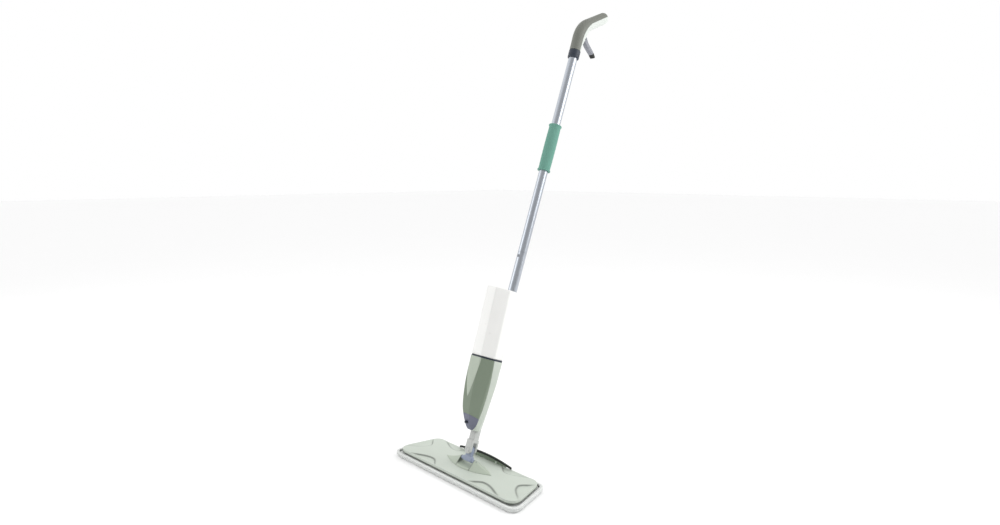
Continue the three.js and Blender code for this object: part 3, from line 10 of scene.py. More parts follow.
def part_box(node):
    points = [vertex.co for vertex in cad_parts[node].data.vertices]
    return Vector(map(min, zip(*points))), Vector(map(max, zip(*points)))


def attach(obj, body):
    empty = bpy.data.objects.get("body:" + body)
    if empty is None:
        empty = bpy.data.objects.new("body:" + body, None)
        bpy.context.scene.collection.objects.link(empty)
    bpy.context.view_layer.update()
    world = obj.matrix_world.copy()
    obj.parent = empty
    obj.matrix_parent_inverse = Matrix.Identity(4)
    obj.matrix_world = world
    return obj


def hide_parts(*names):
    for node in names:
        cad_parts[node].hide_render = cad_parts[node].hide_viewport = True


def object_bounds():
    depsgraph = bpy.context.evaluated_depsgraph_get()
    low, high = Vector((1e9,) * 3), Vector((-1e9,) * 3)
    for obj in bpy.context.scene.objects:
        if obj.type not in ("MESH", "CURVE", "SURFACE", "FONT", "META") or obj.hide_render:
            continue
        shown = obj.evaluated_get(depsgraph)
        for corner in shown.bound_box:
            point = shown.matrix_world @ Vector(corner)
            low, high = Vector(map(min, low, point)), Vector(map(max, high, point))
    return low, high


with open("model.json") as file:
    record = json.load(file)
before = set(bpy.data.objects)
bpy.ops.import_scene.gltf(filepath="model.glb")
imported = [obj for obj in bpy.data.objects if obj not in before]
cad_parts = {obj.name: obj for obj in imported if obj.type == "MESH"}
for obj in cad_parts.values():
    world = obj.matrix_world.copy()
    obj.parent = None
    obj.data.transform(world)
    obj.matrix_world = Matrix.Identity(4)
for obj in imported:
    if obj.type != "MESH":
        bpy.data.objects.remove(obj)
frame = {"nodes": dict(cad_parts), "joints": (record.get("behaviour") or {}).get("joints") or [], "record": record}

bl_info = {
    "name": "Spray Mop",
    "version": (1, 0, 0),
    "blender": (4, 5, 0),
    "location": "View3D > Sidebar > Spray Mop",
    "description": "Builds a spray mop's fine surfaces and finishes around its fixed frame",
    "category": "Add Mesh",
}

MM = 0.001
CAD_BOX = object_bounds()
NODES = frame["nodes"]
JOINTS = {joint["name"]: joint for joint in frame["joints"]}

# The handle's own axes: its Z runs up the tube from the pitch axis, and its Y points behind it.
PIVOT = Vector(JOINTS["head_pitch"]["pos_m"])
UP = Vector(JOINTS["bottle_lift"]["axis"])
LEAN = math.atan2(UP.y, UP.z)
HANDLE = Matrix.Translation(PIVOT) @ Matrix.Rotation(-LEAN, 4, "X")
TO_HANDLE = HANDLE.inverted()


def handle_box(node):
    """Lowest and highest corner of a frame node along the handle's own axes."""
    points = [TO_HANDLE @ vertex.co for vertex in NODES[node].data.vertices]
    low = Vector(min(point[axis] for point in points) for axis in range(3))
    high = Vector(max(point[axis] for point in points) for axis in range(3))
    return low, high


# ---- Modelling tools -----------------------------------------------------------------------


def select_only(obj):
    """Leaves edit mode and selects one object, or none."""
    if bpy.context.object and bpy.context.object.mode != "OBJECT":
        bpy.ops.object.mode_set(mode="OBJECT")
    bpy.ops.object.select_all(action="DESELECT")
    if obj:
        obj.select_set(True)
        bpy.context.view_layer.objects.active = obj


@contextmanager
def editing(obj):
    """Edit mode on one object, with nothing of its mesh selected."""
    select_only(obj)
    bpy.ops.object.mode_set(mode="EDIT")
    bpy.ops.mesh.select_mode(type="VERT")
    bpy.ops.mesh.select_all(action="DESELECT")
    yield
    bpy.ops.object.mode_set(mode="OBJECT")


def pick(obj, kind, rule):
    """Selects the vertices, edges or faces of the edited mesh that the rule holds for."""
    bpy.ops.mesh.select_mode(type={"verts": "VERT", "edges": "EDGE", "faces": "FACE"}[kind])
    bpy.ops.mesh.select_all(action="DESELECT")
    mesh = bmesh.from_edit_mesh(obj.data)
    for element in getattr(mesh, kind):
        if rule(element):
            element.select_set(True)
    mesh.select_flush_mode()
    bmesh.update_edit_mesh(obj.data)


def clean(obj):
    """Merges doubled points and turns every face outwards."""
    with editing(obj):
        bpy.ops.mesh.select_all(action="SELECT")
        bpy.ops.mesh.remove_doubles(threshold=0.01 * MM)
        bpy.ops.mesh.normals_make_consistent(inside=False)


def traced(points, fill=True):
    """An outline traced one point after another, closed and filled if asked."""
    select_only(None)
    bpy.ops.mesh.primitive_plane_add(size=MM, location=(0, 0, 0))
    obj = bpy.context.object
    with editing(obj):
        bpy.ops.mesh.select_all(action="SELECT")
        bpy.ops.mesh.merge(type="CENTER")
        bpy.ops.transform.translate(value=points[0])
        for here, there in zip(points, points[1:]):
            step = Vector(there) - Vector(here)
            bpy.ops.mesh.extrude_region_move(TRANSFORM_OT_translate={"value": step})
        if fill:
            bpy.ops.mesh.select_all(action="SELECT")
            bpy.ops.mesh.edge_face_add()
    return obj


def prism(points, reach):
    """A traced outline drawn out along a vector into a closed solid."""
    obj = traced(points)
    with editing(obj):
        bpy.ops.mesh.select_all(action="SELECT")
        bpy.ops.mesh.extrude_region_move(TRANSFORM_OT_translate={"value": reach})
    clean(obj)
    return obj


def plate(outline, low, high):
    """A prism of an outline drawn in X and Y."""
    return prism([(x, y, low) for x, y in outline], (0, 0, high - low))


def front_plate(outline, front, back):
    """A prism of an outline drawn in X and Z."""
    return prism([(x, front, z) for x, z in outline], (0, back - front, 0))


def side_plate(outline, half, centre=0):
    """A prism of an outline drawn in Y and Z, as wide on both sides of a place on X."""
    return prism([(centre - half, y, z) for y, z in outline], (2 * half, 0, 0))


def turned(profile, steps=64, place=(0, 0, 0), axis="Z"):
    """A body turned from a closed or on-axis profile of (radius, height) points."""
    closed = profile[0][0] > 0
    points = [(radius, 0, height) for radius, height in profile]
    obj = traced(points + points[:1] if closed else points, fill=False)
    with editing(obj):
        bpy.ops.mesh.select_all(action="SELECT")
        bpy.ops.mesh.spin(steps=steps, angle=2 * math.pi, center=(0, 0, 0), axis=(0, 0, 1))
    clean(obj)
    turn = {"X": ("Y", 90), "Y": ("X", -90), "Z": ("Z", 0)}[axis]
    matrix = Matrix.Rotation(math.radians(turn[1]), 4, turn[0])
    obj.data.transform(Matrix.Translation(place) @ matrix)
    return obj


def rod(radius, low, high, place=(0, 0), axis="Z", edge=0.3 * MM, steps=48):
    """A round bar between two places on an axis, with softened ends."""
    profile = [
        (0, low), (radius - edge, low), (radius - 0.3 * edge, low + 0.3 * edge), (radius, low + edge),
        (radius, high - edge), (radius - 0.3 * edge, high - 0.3 * edge), (radius - edge, high), (0, high),
    ]
    centre = {"X": (0, *place), "Y": (place[0], 0, place[1]), "Z": (*place, 0)}[axis]
    return turned(profile, steps, centre, axis)


def modify(obj, kind, **settings):
    """Adds one modifier with its settings and applies it."""
    select_only(obj)
    modifier = obj.modifiers.new(kind.title(), kind)
    for key, value in settings.items():
        setattr(modifier, key, value)
    bpy.ops.object.modifier_apply(modifier=modifier.name)


def combine(obj, other, operation="DIFFERENCE", solver="EXACT"):
    """Cuts, joins or keeps the shared part of two closed solids."""
    modify(obj, "BOOLEAN", object=other, operation=operation, solver=solver)
    bpy.data.objects.remove(other)
    return obj


def soften(obj, width, segments=3, angle=30):
    """Rounds the edges sharper than an angle."""
    modify(
        obj, "BEVEL", width=width, segments=segments, limit_method="ANGLE",
        angle_limit=math.radians(angle), use_clamp_overlap=True, harden_normals=False,
    )
    return obj


def copy_of(obj):
    """A copy with its own mesh."""
    twin = obj.copy()
    twin.data = obj.data.copy()
    bpy.context.scene.collection.objects.link(twin)
    return twin


def merged(objects):
    """Several objects as one."""
    select_only(objects[0])
    for obj in objects:
        obj.select_set(True)
    bpy.ops.object.join()
    return objects[0]


def reshape(obj, rule):
    """Moves every point of a mesh as a rule says."""
    for vertex in obj.data.vertices:
        vertex.co = rule(vertex.co.copy())
    obj.data.update()
    return obj


def rounded(corners, radius, steps=6):
    """An outline with each corner turned by an arc; a corner may hold its own radius."""
    outline = []
    for index, corner in enumerate(corners):
        here = Vector(corner[:2])
        before = Vector(corners[index - 1][:2]) - here
        after = Vector(corners[(index + 1) % len(corners)][:2]) - here
        half = before.angle(after) / 2
        arc = corner[2] if len(corner) > 2 else radius
        start = here + before.normalized() * arc / math.tan(half)
        end = here + after.normalized() * arc / math.tan(half)
        for step in range(steps + 1):
            t = step / steps
            outline.append(tuple(start * (1 - t) ** 2 + here * 2 * t * (1 - t) + end * t**2))
    return outline


def curve_through(stations, place):
    """A smooth reading of (place, value) stations."""
    if place <= stations[0][0]:
        return stations[0][1]
    if place >= stations[-1][0]:
        return stations[-1][1]
    index = next(i for i, station in enumerate(stations) if station[0] > place) - 1
    (x0, y0), (x1, y1) = stations[index], stations[index + 1]
    chord = (y1 - y0) / (x1 - x0)
    slopes = []
    for i in (index, index + 1):
        if 0 < i < len(stations) - 1:
            (xa, ya), (xb, yb) = stations[i - 1], stations[i + 1]
            slopes.append((yb - ya) / (xb - xa))
        else:
            slopes.append(chord)
    t, width = (place - x0) / (x1 - x0), x1 - x0
    return (
        y0 * (1 + 2 * t) * (1 - t) ** 2 + y1 * t**2 * (3 - 2 * t)
        + width * slopes[0] * t * (1 - t) ** 2 - width * slopes[1] * t**2 * (1 - t)
    )


def rectangle(left, low, right, high):
    """The corners of a rectangle, in order."""
    return [(left, low), (right, low), (right, high), (left, high)]


def arc_points(radius, height, start, end, step):
    """Points in X and Z on an arc about a height on the handle's axis; angles in degrees."""
    turns = (math.radians(angle) for angle in range(start, end, step))
    return [(radius * math.cos(turn), height + radius * math.sin(turn)) for turn in turns]


def settle(obj, name, body, finish, *nodes, leaning=True, angle=35):
    """Names a finished piece, puts it in the row frame and lets it stand for its frame nodes."""
    obj.name = obj.data.name = name
    if leaning:
        obj.data.transform(HANDLE)
    select_only(obj)
    bpy.ops.object.shade_smooth_by_angle(angle=math.radians(angle))
    obj.data.materials.clear()
    obj.data.materials.append(finish_of(finish))
    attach(obj, body)
    if nodes:
        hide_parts(*nodes)
    return obj


# ---- Finishes ------------------------------------------------------------------------------


def group_tree(name, inputs, outputs):
    """An empty node group with named sockets, and its input and output nodes."""
    tree = bpy.data.node_groups.new(name, "ShaderNodeTree")
    for label, kind, default in inputs:
        socket = tree.interface.new_socket(name=label, in_out="INPUT", socket_type=kind)
        if default is not None:
            socket.default_value = default
    for label, kind in outputs:
        tree.interface.new_socket(name=label, in_out="OUTPUT", socket_type=kind)
    return tree, tree.nodes.new("NodeGroupInput"), tree.nodes.new("NodeGroupOutput")


def add_node(tree, kind, links=None, **settings):
    """Adds a shader node, sets its values and links sockets into it."""
    node = tree.nodes.new(kind)
    for key, value in settings.items():
        if hasattr(node, key):
            setattr(node, key, value)
        else:
            node.inputs[key.replace("_", " ").title()].default_value = value
    for socket, source in (links or {}).items():
        tree.links.new(source, node.inputs[socket])
    return node


def object_place(tree, scale=(1, 1, 1), turn=(0, 0, 0)):
    """Object coordinates through a Mapping node."""
    coordinates = tree.nodes.new("ShaderNodeTexCoord")
    mapping = add_node(tree, "ShaderNodeMapping", {"Vector": coordinates.outputs["Object"]})
    mapping.inputs["Scale"].default_value = scale
    mapping.inputs["Rotation"].default_value = turn
    return mapping.outputs["Vector"]


def moulded_group():
    """Moulded surface: slight tone drift, painted shade along folds, fine spark grain and handling marks in the
    gloss.
    """
    tree, given, out = group_tree(
        "Moulded Surface",
        [
            ("Place", "NodeSocketVector", None),
            ("Colour", "NodeSocketColor", (0.8, 0.8, 0.8, 1)),
            ("Shade", "NodeSocketColor", (0.7, 0.7, 0.7, 1)),
            ("Fold", "NodeSocketColor", (0.4, 0.4, 0.4, 1)),
            ("Roughness", "NodeSocketFloat", 0.45),
            ("Grain", "NodeSocketFloat", 1400.0),
            ("Depth", "NodeSocketFloat", 0.08),
        ],
        [("Colour", "NodeSocketColor"), ("Roughness", "NodeSocketFloat"), ("Normal", "NodeSocketVector")],
    )
    drift = add_node(tree, "ShaderNodeTexNoise", {"Vector": given.outputs["Place"]}, scale=9.0, detail=3.0)
    edges = add_node(tree, "ShaderNodeNewGeometry")
    worn = add_node(
        tree, "ShaderNodeMapRange", {"Value": edges.outputs["Pointiness"]},
        from_min=0.5, from_max=0.62, to_min=0.0, to_max=0.35,
    )
    marks = add_node(
        tree, "ShaderNodeMath", {0: drift.outputs["Fac"], 1: worn.outputs["Result"]}, operation="SUBTRACT",
    )
    toned = add_node(
        tree, "ShaderNodeMix",
        {"Factor": marks.outputs["Value"], 6: given.outputs["Colour"], 7: given.outputs["Shade"]},
        data_type="RGBA",
    )
    # Painted shade: the colour darkens along folds, as far as each vertex's mark says.
    crease = add_node(tree, "ShaderNodeAttribute", attribute_name="crease")
    colour = add_node(
        tree, "ShaderNodeMix",
        {"Factor": crease.outputs["Fac"], 6: toned.outputs[2], 7: given.outputs["Fold"]},
        data_type="RGBA",
    )
    smears = add_node(
        tree, "ShaderNodeTexNoise", {"Vector": given.outputs["Place"]}, scale=38.0, detail=5.0,
    )
    gloss = add_node(
        tree, "ShaderNodeMapRange", {"Value": smears.outputs["Fac"]},
        from_min=0.3, from_max=0.7, to_min=-0.05, to_max=0.06,
    )
    rough = add_node(
        tree, "ShaderNodeMath",
        {0: given.outputs["Roughness"], 1: gloss.outputs["Result"]}, operation="ADD",
    )
    grain = add_node(
        tree, "ShaderNodeTexNoise",
        {"Vector": given.outputs["Place"], "Scale": given.outputs["Grain"]}, detail=2.0,
    )
    bump = add_node(
        tree, "ShaderNodeBump",
        {"Height": grain.outputs["Fac"], "Strength": given.outputs["Depth"]}, distance=0.2 * MM,
    )
    tree.links.new(colour.outputs[2], out.inputs["Colour"])
    tree.links.new(rough.outputs["Value"], out.inputs["Roughness"])
    tree.links.new(bump.outputs["Normal"], out.inputs["Normal"])
    return tree


def fibre_group():
    """Cloth surface: tufts or weave cells, painted shade in the hollows between them and fine fibre noise."""
    tree, given, out = group_tree(
        "Fibre Surface",
        [
            ("Place", "NodeSocketVector", None),
            ("Colour", "NodeSocketColor", (0.9, 0.9, 0.9, 1)),
            ("Root", "NodeSocketColor", (0.7, 0.7, 0.7, 1)),
            ("Cell", "NodeSocketFloat", 420.0),
            ("Depth", "NodeSocketFloat", 0.5),
        ],
        [("Colour", "NodeSocketColor"), ("Roughness", "NodeSocketFloat"), ("Normal", "NodeSocketVector")],
    )
    cells = add_node(
        tree, "ShaderNodeTexVoronoi",
        {"Vector": given.outputs["Place"], "Scale": given.outputs["Cell"]},
    )
    fibres = add_node(
        tree, "ShaderNodeTexNoise", {"Vector": given.outputs["Place"]}, scale=1900.0, detail=4.0,
    )
    height = add_node(
        tree, "ShaderNodeMath",
        {0: fibres.outputs["Fac"], 1: cells.outputs["Distance"]}, operation="SUBTRACT",
    )
    # Painted shade: darker towards the low hollows between the cells.
    colour = add_node(
        tree, "ShaderNodeMix",
        {"Factor": cells.outputs["Distance"], 6: given.outputs["Colour"], 7: given.outputs["Root"]},
        data_type="RGBA",
    )
    rough = add_node(
        tree, "ShaderNodeMapRange", {"Value": fibres.outputs["Fac"]},
        from_min=0.2, from_max=0.8, to_min=0.85, to_max=1.0,
    )
    bump = add_node(
        tree, "ShaderNodeBump",
        {"Height": height.outputs["Value"], "Strength": given.outputs["Depth"]}, distance=0.8 * MM,
    )
    tree.links.new(colour.outputs[2], out.inputs["Colour"])
    tree.links.new(rough.outputs["Result"], out.inputs["Roughness"])
    tree.links.new(bump.outputs["Normal"], out.inputs["Normal"])
    return tree


def drawn_metal_group():
    """Drawn metal: fine lines along the handle and soft changes of gloss."""
    tree, given, out = group_tree(
        "Drawn Metal",
        [
            ("Place", "NodeSocketVector", None),
            ("Colour", "NodeSocketColor", (0.7, 0.7, 0.72, 1)),
            ("Shade", "NodeSocketColor", (0.6, 0.6, 0.63, 1)),
            ("Roughness", "NodeSocketFloat", 0.3),
        ],
        [("Colour", "NodeSocketColor"), ("Roughness", "NodeSocketFloat"), ("Normal", "NodeSocketVector")],
    )
    lines = add_node(tree, "ShaderNodeTexNoise", {"Vector": given.outputs["Place"]}, scale=1.0, detail=6.0)
    colour = add_node(
        tree, "ShaderNodeMix",
        {"Factor": lines.outputs["Fac"], 6: given.outputs["Colour"], 7: given.outputs["Shade"]},
        data_type="RGBA",
    )
    gloss = add_node(
        tree, "ShaderNodeMapRange", {"Value": lines.outputs["Fac"]},
        from_min=0.3, from_max=0.7, to_min=-0.06, to_max=0.08,
    )
    rough = add_node(
        tree, "ShaderNodeMath",
        {0: given.outputs["Roughness"], 1: gloss.outputs["Result"]}, operation="ADD",
    )
    bump = add_node(
        tree, "ShaderNodeBump", {"Height": lines.outputs["Fac"]}, strength=0.12, distance=0.05 * MM,
    )
    tree.links.new(colour.outputs[2], out.inputs["Colour"])
    tree.links.new(rough.outputs["Value"], out.inputs["Roughness"])
    tree.links.new(bump.outputs["Normal"], out.inputs["Normal"])
    return tree


GROUPS = {}


def shared_group(name, builder):
    """A node group that is built once and used by several finishes."""
    if name not in GROUPS:
        GROUPS[name] = builder()
    return GROUPS[name]


def new_material(name):
    """A material with only a Principled shader, its tree and the shader."""
    material = bpy.data.materials.new(name)
    material.use_nodes = True
    tree = material.node_tree
    return material, tree, tree.nodes["Principled BSDF"]


def surface_from(tree, shader, group, inputs, links=None):
    """Places a shared group and joins its colour, roughness and normal to the shader."""
    node = tree.nodes.new("ShaderNodeGroup")
    node.node_tree = group
    for label, value in inputs.items():
        node.inputs[label].default_value = value
    for label, source in (links or {}).items():
        tree.links.new(source, node.inputs[label])
    tree.links.new(node.outputs["Colour"], shader.inputs["Base Color"])
    tree.links.new(node.outputs["Roughness"], shader.inputs["Roughness"])
    tree.links.new(node.outputs["Normal"], shader.inputs["Normal"])


def rgba(colour, factor=1.0):
    """A colour with its brightness scaled, opaque."""
    return (*(min(1.0, part * factor) for part in colour[:3]), 1.0)


def moulded(name, colour, roughness=0.42, grain=1400.0, depth=0.08, coat=0.0, glow=0.0):
    """Moulded plastic or rubber."""
    material, tree, shader = new_material(name)
    surface_from(
        tree, shader, shared_group("moulded", moulded_group),
        {
            "Colour": rgba(colour, 1.03), "Shade": rgba(colour, 0.94), "Fold": rgba(colour, 0.42),
            "Roughness": roughness, "Grain": grain, "Depth": depth,
        },
        {"Place": object_place(tree)},
    )
    shader.inputs["Coat Weight"].default_value = coat
    shader.inputs["Subsurface Weight"].default_value = glow
    shader.inputs["Subsurface Radius"].default_value = (0.01, 0.01, 0.01)
    return material


def fibre(name, colour, cell=420.0, depth=0.5, root=0.8):
    """Pile, tape or felt."""
    material, tree, shader = new_material(name)
    surface_from(
        tree, shader, shared_group("fibre", fibre_group),
        {"Colour": rgba(colour), "Root": rgba(colour, root), "Cell": cell, "Depth": depth},
        {"Place": object_place(tree)},
    )
    shader.inputs["Sheen Weight"].default_value = 0.35
    shader.inputs["Sheen Roughness"].default_value = 0.6
    return material


def drawn_metal(name, colour, roughness=0.3):
    """Metal with its drawing lines along the handle."""
    material, tree, shader = new_material(name)
    place = object_place(tree, scale=(1500, 1500, 6), turn=(LEAN, 0, 0))
    surface_from(
        tree, shader, shared_group("drawn", drawn_metal_group),
        {"Colour": rgba(colour, 1.04), "Shade": rgba(colour, 0.9), "Roughness": roughness},
        {"Place": place},
    )
    shader.inputs["Metallic"].default_value = 1.0
    return material


FINISHES = {}


def finish_of(slot):
    """The material made for one of the record's slots."""
    return FINISHES[slot]


def linear(colour):
    """A screen colour as the shader's linear one."""
    return tuple(
        part / 12.92 if part <= 0.04045 else ((part + 0.055) / 1.055) ** 2.4 for part in colour[:3]
    )


RECORD_COLOURS = {entry["slot"]: entry["base_color"] for entry in frame["record"]["materials"]}


def colour_setting(slot, label):
    """A colour picker whose default is the record's colour for a slot."""
    return bpy.props.FloatVectorProperty(
        name=label, description=f"Colour of the {label.lower()}", subtype="COLOR",
        size=3, min=0, max=1, default=linear(RECORD_COLOURS[slot]),
    )


def length_setting(label, description, default):
    """A length in the scene's own units."""
    return bpy.props.FloatProperty(
        name=label, description=description, default=default, min=0, unit="LENGTH", subtype="DISTANCE",
    )


# ---- Settings ------------------------------------------------------------------------------


class HeadSettings(bpy.types.PropertyGroup):
    front_edge: length_setting(
        "Front edge", "Length of the head's front edge between sharp corners", 404 * MM,
    )
    back_edge: length_setting("Back edge", "Length of the head's back edge between sharp corners", 346 * MM)
    depth: length_setting("Depth", "Head's size from front to back", 111 * MM)
    corner: length_setting("Corner", "How round the head's corners are in plan", 28 * MM)
    recess: length_setting("Recess depth", "Depth of the arched recesses at their crowns", 2.5 * MM)


class PadSettings(bpy.types.PropertyGroup):
    overhang: length_setting("Overhang", "How far the pad stands out beyond the head", 8.6 * MM)
    corner: length_setting("Corner radius", "Rounding of the pad's corners in plan", 24 * MM)
    binding: length_setting("Binding width", "Width of the sewn tape round the pad", 7 * MM)
    stitch: length_setting("Stitch spacing", "Distance from one binding stitch to the next", 3.6 * MM)
    tuft: length_setting("Tuft spacing", "Distance between the pile's tufts", 6.4 * MM)
    fringe: length_setting("Fringe spacing", "Distance between the loops round the pad's edge", 3.3 * MM)


class HandleSettings(bpy.types.PropertyGroup):
    holder_wall: length_setting("Holder wall", "Wall thickness of the bottle holder", 2.4 * MM)
    grip_wall: length_setting("Grip wall", "Wall thickness of the bent grip", 2.4 * MM)
    bottle_edge: length_setting("Bottle edge", "Rounding of the bottle's top edge", 3.2 * MM)
    foam_flange: length_setting("Foam flange", "Height of the end flanges on the soft grip", 4 * MM)


class FinishSettings(bpy.types.PropertyGroup):
    sage_pale: colour_setting("sage_pale", "Head cover")
    sage_light: colour_setting("sage_light", "Pivot mount")
    sage_dark: colour_setting("sage_dark", "Bottle holder")
    teal_foam: colour_setting("teal_foam", "Soft grip")
    slate: colour_setting("slate", "Nose cap")
    slate_blue: colour_setting("slate_blue", "Cradle")
    white_plastic: colour_setting("white_plastic", "Bottle")
    grip_dark: colour_setting("grip_dark", "Grip's top cover")
    grip_light: colour_setting("grip_light", "Grip's lower shell")
    pad_white: colour_setting("pad_white", "Mop pad")


def settings(name):
    """One of the scene's groups of settings."""
    return getattr(bpy.context.scene, f"mop_{name}")


def finish_colour(slot):
    """The colour picked for a slot, or the record's own."""
    picked = settings("finish")
    return tuple(getattr(picked, slot)) if hasattr(picked, slot) else linear(RECORD_COLOURS[slot])


# ---- Head ----------------------------------------------------------------------------------

BASE_LOW, BASE_HIGH = (corner.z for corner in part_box("head_base_plate"))
COVER_SKIRT = 1.4 * MM  # the cover's rim reaches a little down over the base plate
COVER_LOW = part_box("head_cover")[0].z - COVER_SKIRT
COVER_TOP = 20 * MM
COVER_ROUND = 1.8 * MM
SEAM = 0.3 * MM


def head_outline(margin, corner=None):
    """Plan outline of the head, grown by a margin."""
    head = settings("head")
    front, back = head.front_edge / 2 + margin, head.back_edge / 2 + margin
    depth = head.depth / 2 + margin
    return rounded([(-front, -depth), (front, -depth), (back, depth), (-back, depth)],
                   corner or head.corner + margin, steps=12)


def pad_outline(inset=0.0):
    """Plan outline of the pad, taken in from its edge."""
    pad = settings("pad")
    return head_outline(pad.overhang - inset, pad.corner - inset)


def outline_half_width(outline, y):
    """Half width of a left-right symmetric outline at a place on Y."""
    widest = 0
    for (x0, y0), (x1, y1) in zip(outline, outline[1:] + outline[:1]):
        if min(y0, y1) <= y <= max(y0, y1) and abs(y1 - y0) > 1e-9:
            widest = max(widest, abs(x0 + (x1 - x0) * (y - y0) / (y1 - y0)))
    return widest


def gentle(value):
    """A smooth step from 0 to 1."""
    share = min(1.0, max(0.0, value))
    return share * share * (3 - 2 * share)


# Arched recesses: middle of the open side, its outward direction, its length, its reach, and
# how far its crown stands off the middle, as a share of half its length.
ARCHES = [
    *(((side * 104 * MM, -52 * MM), (0, -1), 94 * MM, 20 * MM, -side * 0.3) for side in (-1, 1)),
    *(((side * 100 * MM, 52 * MM), (0, 1), 86 * MM, 19 * MM, side * 0.3) for side in (-1, 1)),
    *(((side * 183 * MM, 0), (side, 0.26), 78 * MM, 30 * MM, side * 0.4) for side in (-1, 1)),
]
LIP_WIDTH = 1.5 * MM
# Width of the band of painted shade along each recess's lip.
CREASE_SHADE_WIDTH = 1.9 * MM
FADE_OUTSIDE = 6 * MM  # how far outside an arch's open side its recess starts to fade in
FADE_SHARE = 0.7  # share of an arch's reach over which it fades in
GRID_CROWDING = 1.35  # how strongly a slab's grid lines crowd towards its edges


def recess_at(x, y):
    """How far the cover is pressed in at a place, and how much painted shade it gets near a lip, both from 0 to 1.
    """
    deepest, lip_shade = 0, 0
    for (cx, cy), outward, length, reach, crown in ARCHES:
        out = Vector(outward).normalized()
        offset = Vector((x - cx, y - cy))
        inward = -offset.dot(out)
        aside = offset.dot(Vector((-out.y, out.x))) / (length / 2) - crown
        along = abs(aside) / (1 - math.copysign(crown, aside * crown))
        if along >= 1:
            continue
        crest = reach * (1 - along**2) ** 1.5
        slope = 3 * reach * along * math.sqrt(1 - along**2) / (length / 2)
        inside = (crest - inward) / math.hypot(1, slope)
        floor = gentle((inward + FADE_OUTSIDE) / (FADE_SHARE * reach))
        deepest = max(deepest, floor * gentle(inside / LIP_WIDTH))
        lip_shade = max(lip_shade, floor * math.exp(-((inside - LIP_WIDTH / 2) / CREASE_SHADE_WIDTH) ** 2))
    return deepest, lip_shade


def recess_depth(x, y):
    """How far the cover's face lies below its raised part at a place."""
    return recess_at(x, y)[0] * settings("head").recess


def paint_crease_shade(obj, rule):
    """Notes on each vertex how much painted shade it gets, by a rule of its place."""
    marks = obj.data.attributes.new("crease", "FLOAT", "POINT")
    for vertex, mark in zip(obj.data.vertices, marks.data):
        mark.value = rule(vertex.co)


def rounded_edge(inside, radius):
    """Drop of a face near its rim, for a quarter-round edge."""
    if inside >= radius:
        return 0
    return radius - math.sqrt(max(0, radius**2 - (radius - inside) ** 2))


def head_slab(margin, low, top, edge, columns, rows, height):
    """A plate of the head's outline whose top face follows a height rule."""
    outline = head_outline(margin)
    half_depth = max(y for _, y in outline)
    select_only(None)
    bpy.ops.mesh.primitive_grid_add(x_subdivisions=columns, y_subdivisions=rows, size=2)
    obj = bpy.context.object

    def face(point):
        y = half_depth * spread(point.y)
        half = outline_half_width(outline, max(-half_depth + 1e-6, min(half_depth - 1e-6, y)))
        x = half * spread(point.x)
        inside = min(half_depth - abs(y), half - abs(x))
        return Vector((x, y, top - rounded_edge(inside, edge) - height(x, y)))

    reshape(obj, face)
    with editing(obj):
        bpy.ops.mesh.select_all(action="SELECT")
        bpy.ops.mesh.extrude_region_move(TRANSFORM_OT_translate={"value": (0, 0, low - top)})
        pick(obj, "verts", lambda vertex: vertex.co.z < low + 0.3 * MM)
        bpy.ops.transform.resize(value=(1, 1, 0), center_override=(0, 0, low))
    clean(obj)
    return obj


def spread(share):
    """Crowds a grid's lines towards its edges."""
    return math.copysign(1 - (1 - abs(share)) ** GRID_CROWDING, share)


HINGE = Vector(JOINTS["squeegee_flip"]["pos_m"])
HINGE_BORE = (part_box("squeegee_pin_right")[1].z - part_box("squeegee_pin_right")[0].z) / 2 + 0.2 * MM
LUG_X = (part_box("squeegee_pin_right")[0].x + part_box("squeegee_pin_right")[1].x) / 2
LUG_HALF_X, LUG_HALF_Y = 2.2 * MM, 2.6 * MM
LUG_ROUND = 2.2 * MM
COVER_INSET = 0.6 * MM
COVER_GRID = (300, 96)


def build_cover():
    """The head's pale cover with its six arched recesses and the squeegee's two lugs."""
    cover = head_slab(-COVER_INSET, COVER_LOW, COVER_TOP, COVER_ROUND, *COVER_GRID, recess_depth)
    for side in (-1, 1):
        foot, top = COVER_TOP - 1.5 * MM, HINGE.z + 2.8 * MM
        profile = [
            (HINGE.y - 3.4 * MM, foot, 0.4 * MM), (HINGE.y + 3.0 * MM, foot, 0.4 * MM),
            (HINGE.y + LUG_HALF_Y, top), (HINGE.y - LUG_HALF_Y, top),
        ]
        lug = side_plate(rounded(profile, LUG_ROUND), LUG_HALF_X, side * LUG_X)
        soften(lug, 0.4 * MM, 2)
        combine(cover, lug, "UNION", "MANIFOLD")
    bore = rod(HINGE_BORE, -90 * MM, 90 * MM, (HINGE.y, HINGE.z), "X")
    combine(cover, bore, solver="MANIFOLD")
    # Painted shade: a darker colour along the lip of each recess.
    paint_crease_shade(cover, lambda place: recess_at(place.x, place.y)[1])
    return settle(cover, "head_cover_shell", "head", "sage_pale", "head_cover", leaning=False, angle=50)


def build_base():
    """The dark plate under the cover, with pockets for the hook tape."""
    base = soften(plate(head_outline(0), BASE_LOW, BASE_HIGH - COVER_SKIRT), 0.8 * MM, 4, 50)
    for strip in ("hook_strip_front", "hook_strip_back"):
        low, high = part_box(strip)
        corners = rectangle(low.x - SEAM, low.y - SEAM, high.x + SEAM, high.y + SEAM)
        combine(base, plate(rounded(corners, 1 * MM, 3), low.z - 2 * MM, high.z + SEAM))
    return settle(base, "head_base_rim", "head", "edge_grey", "head_base_plate", leaning=False)


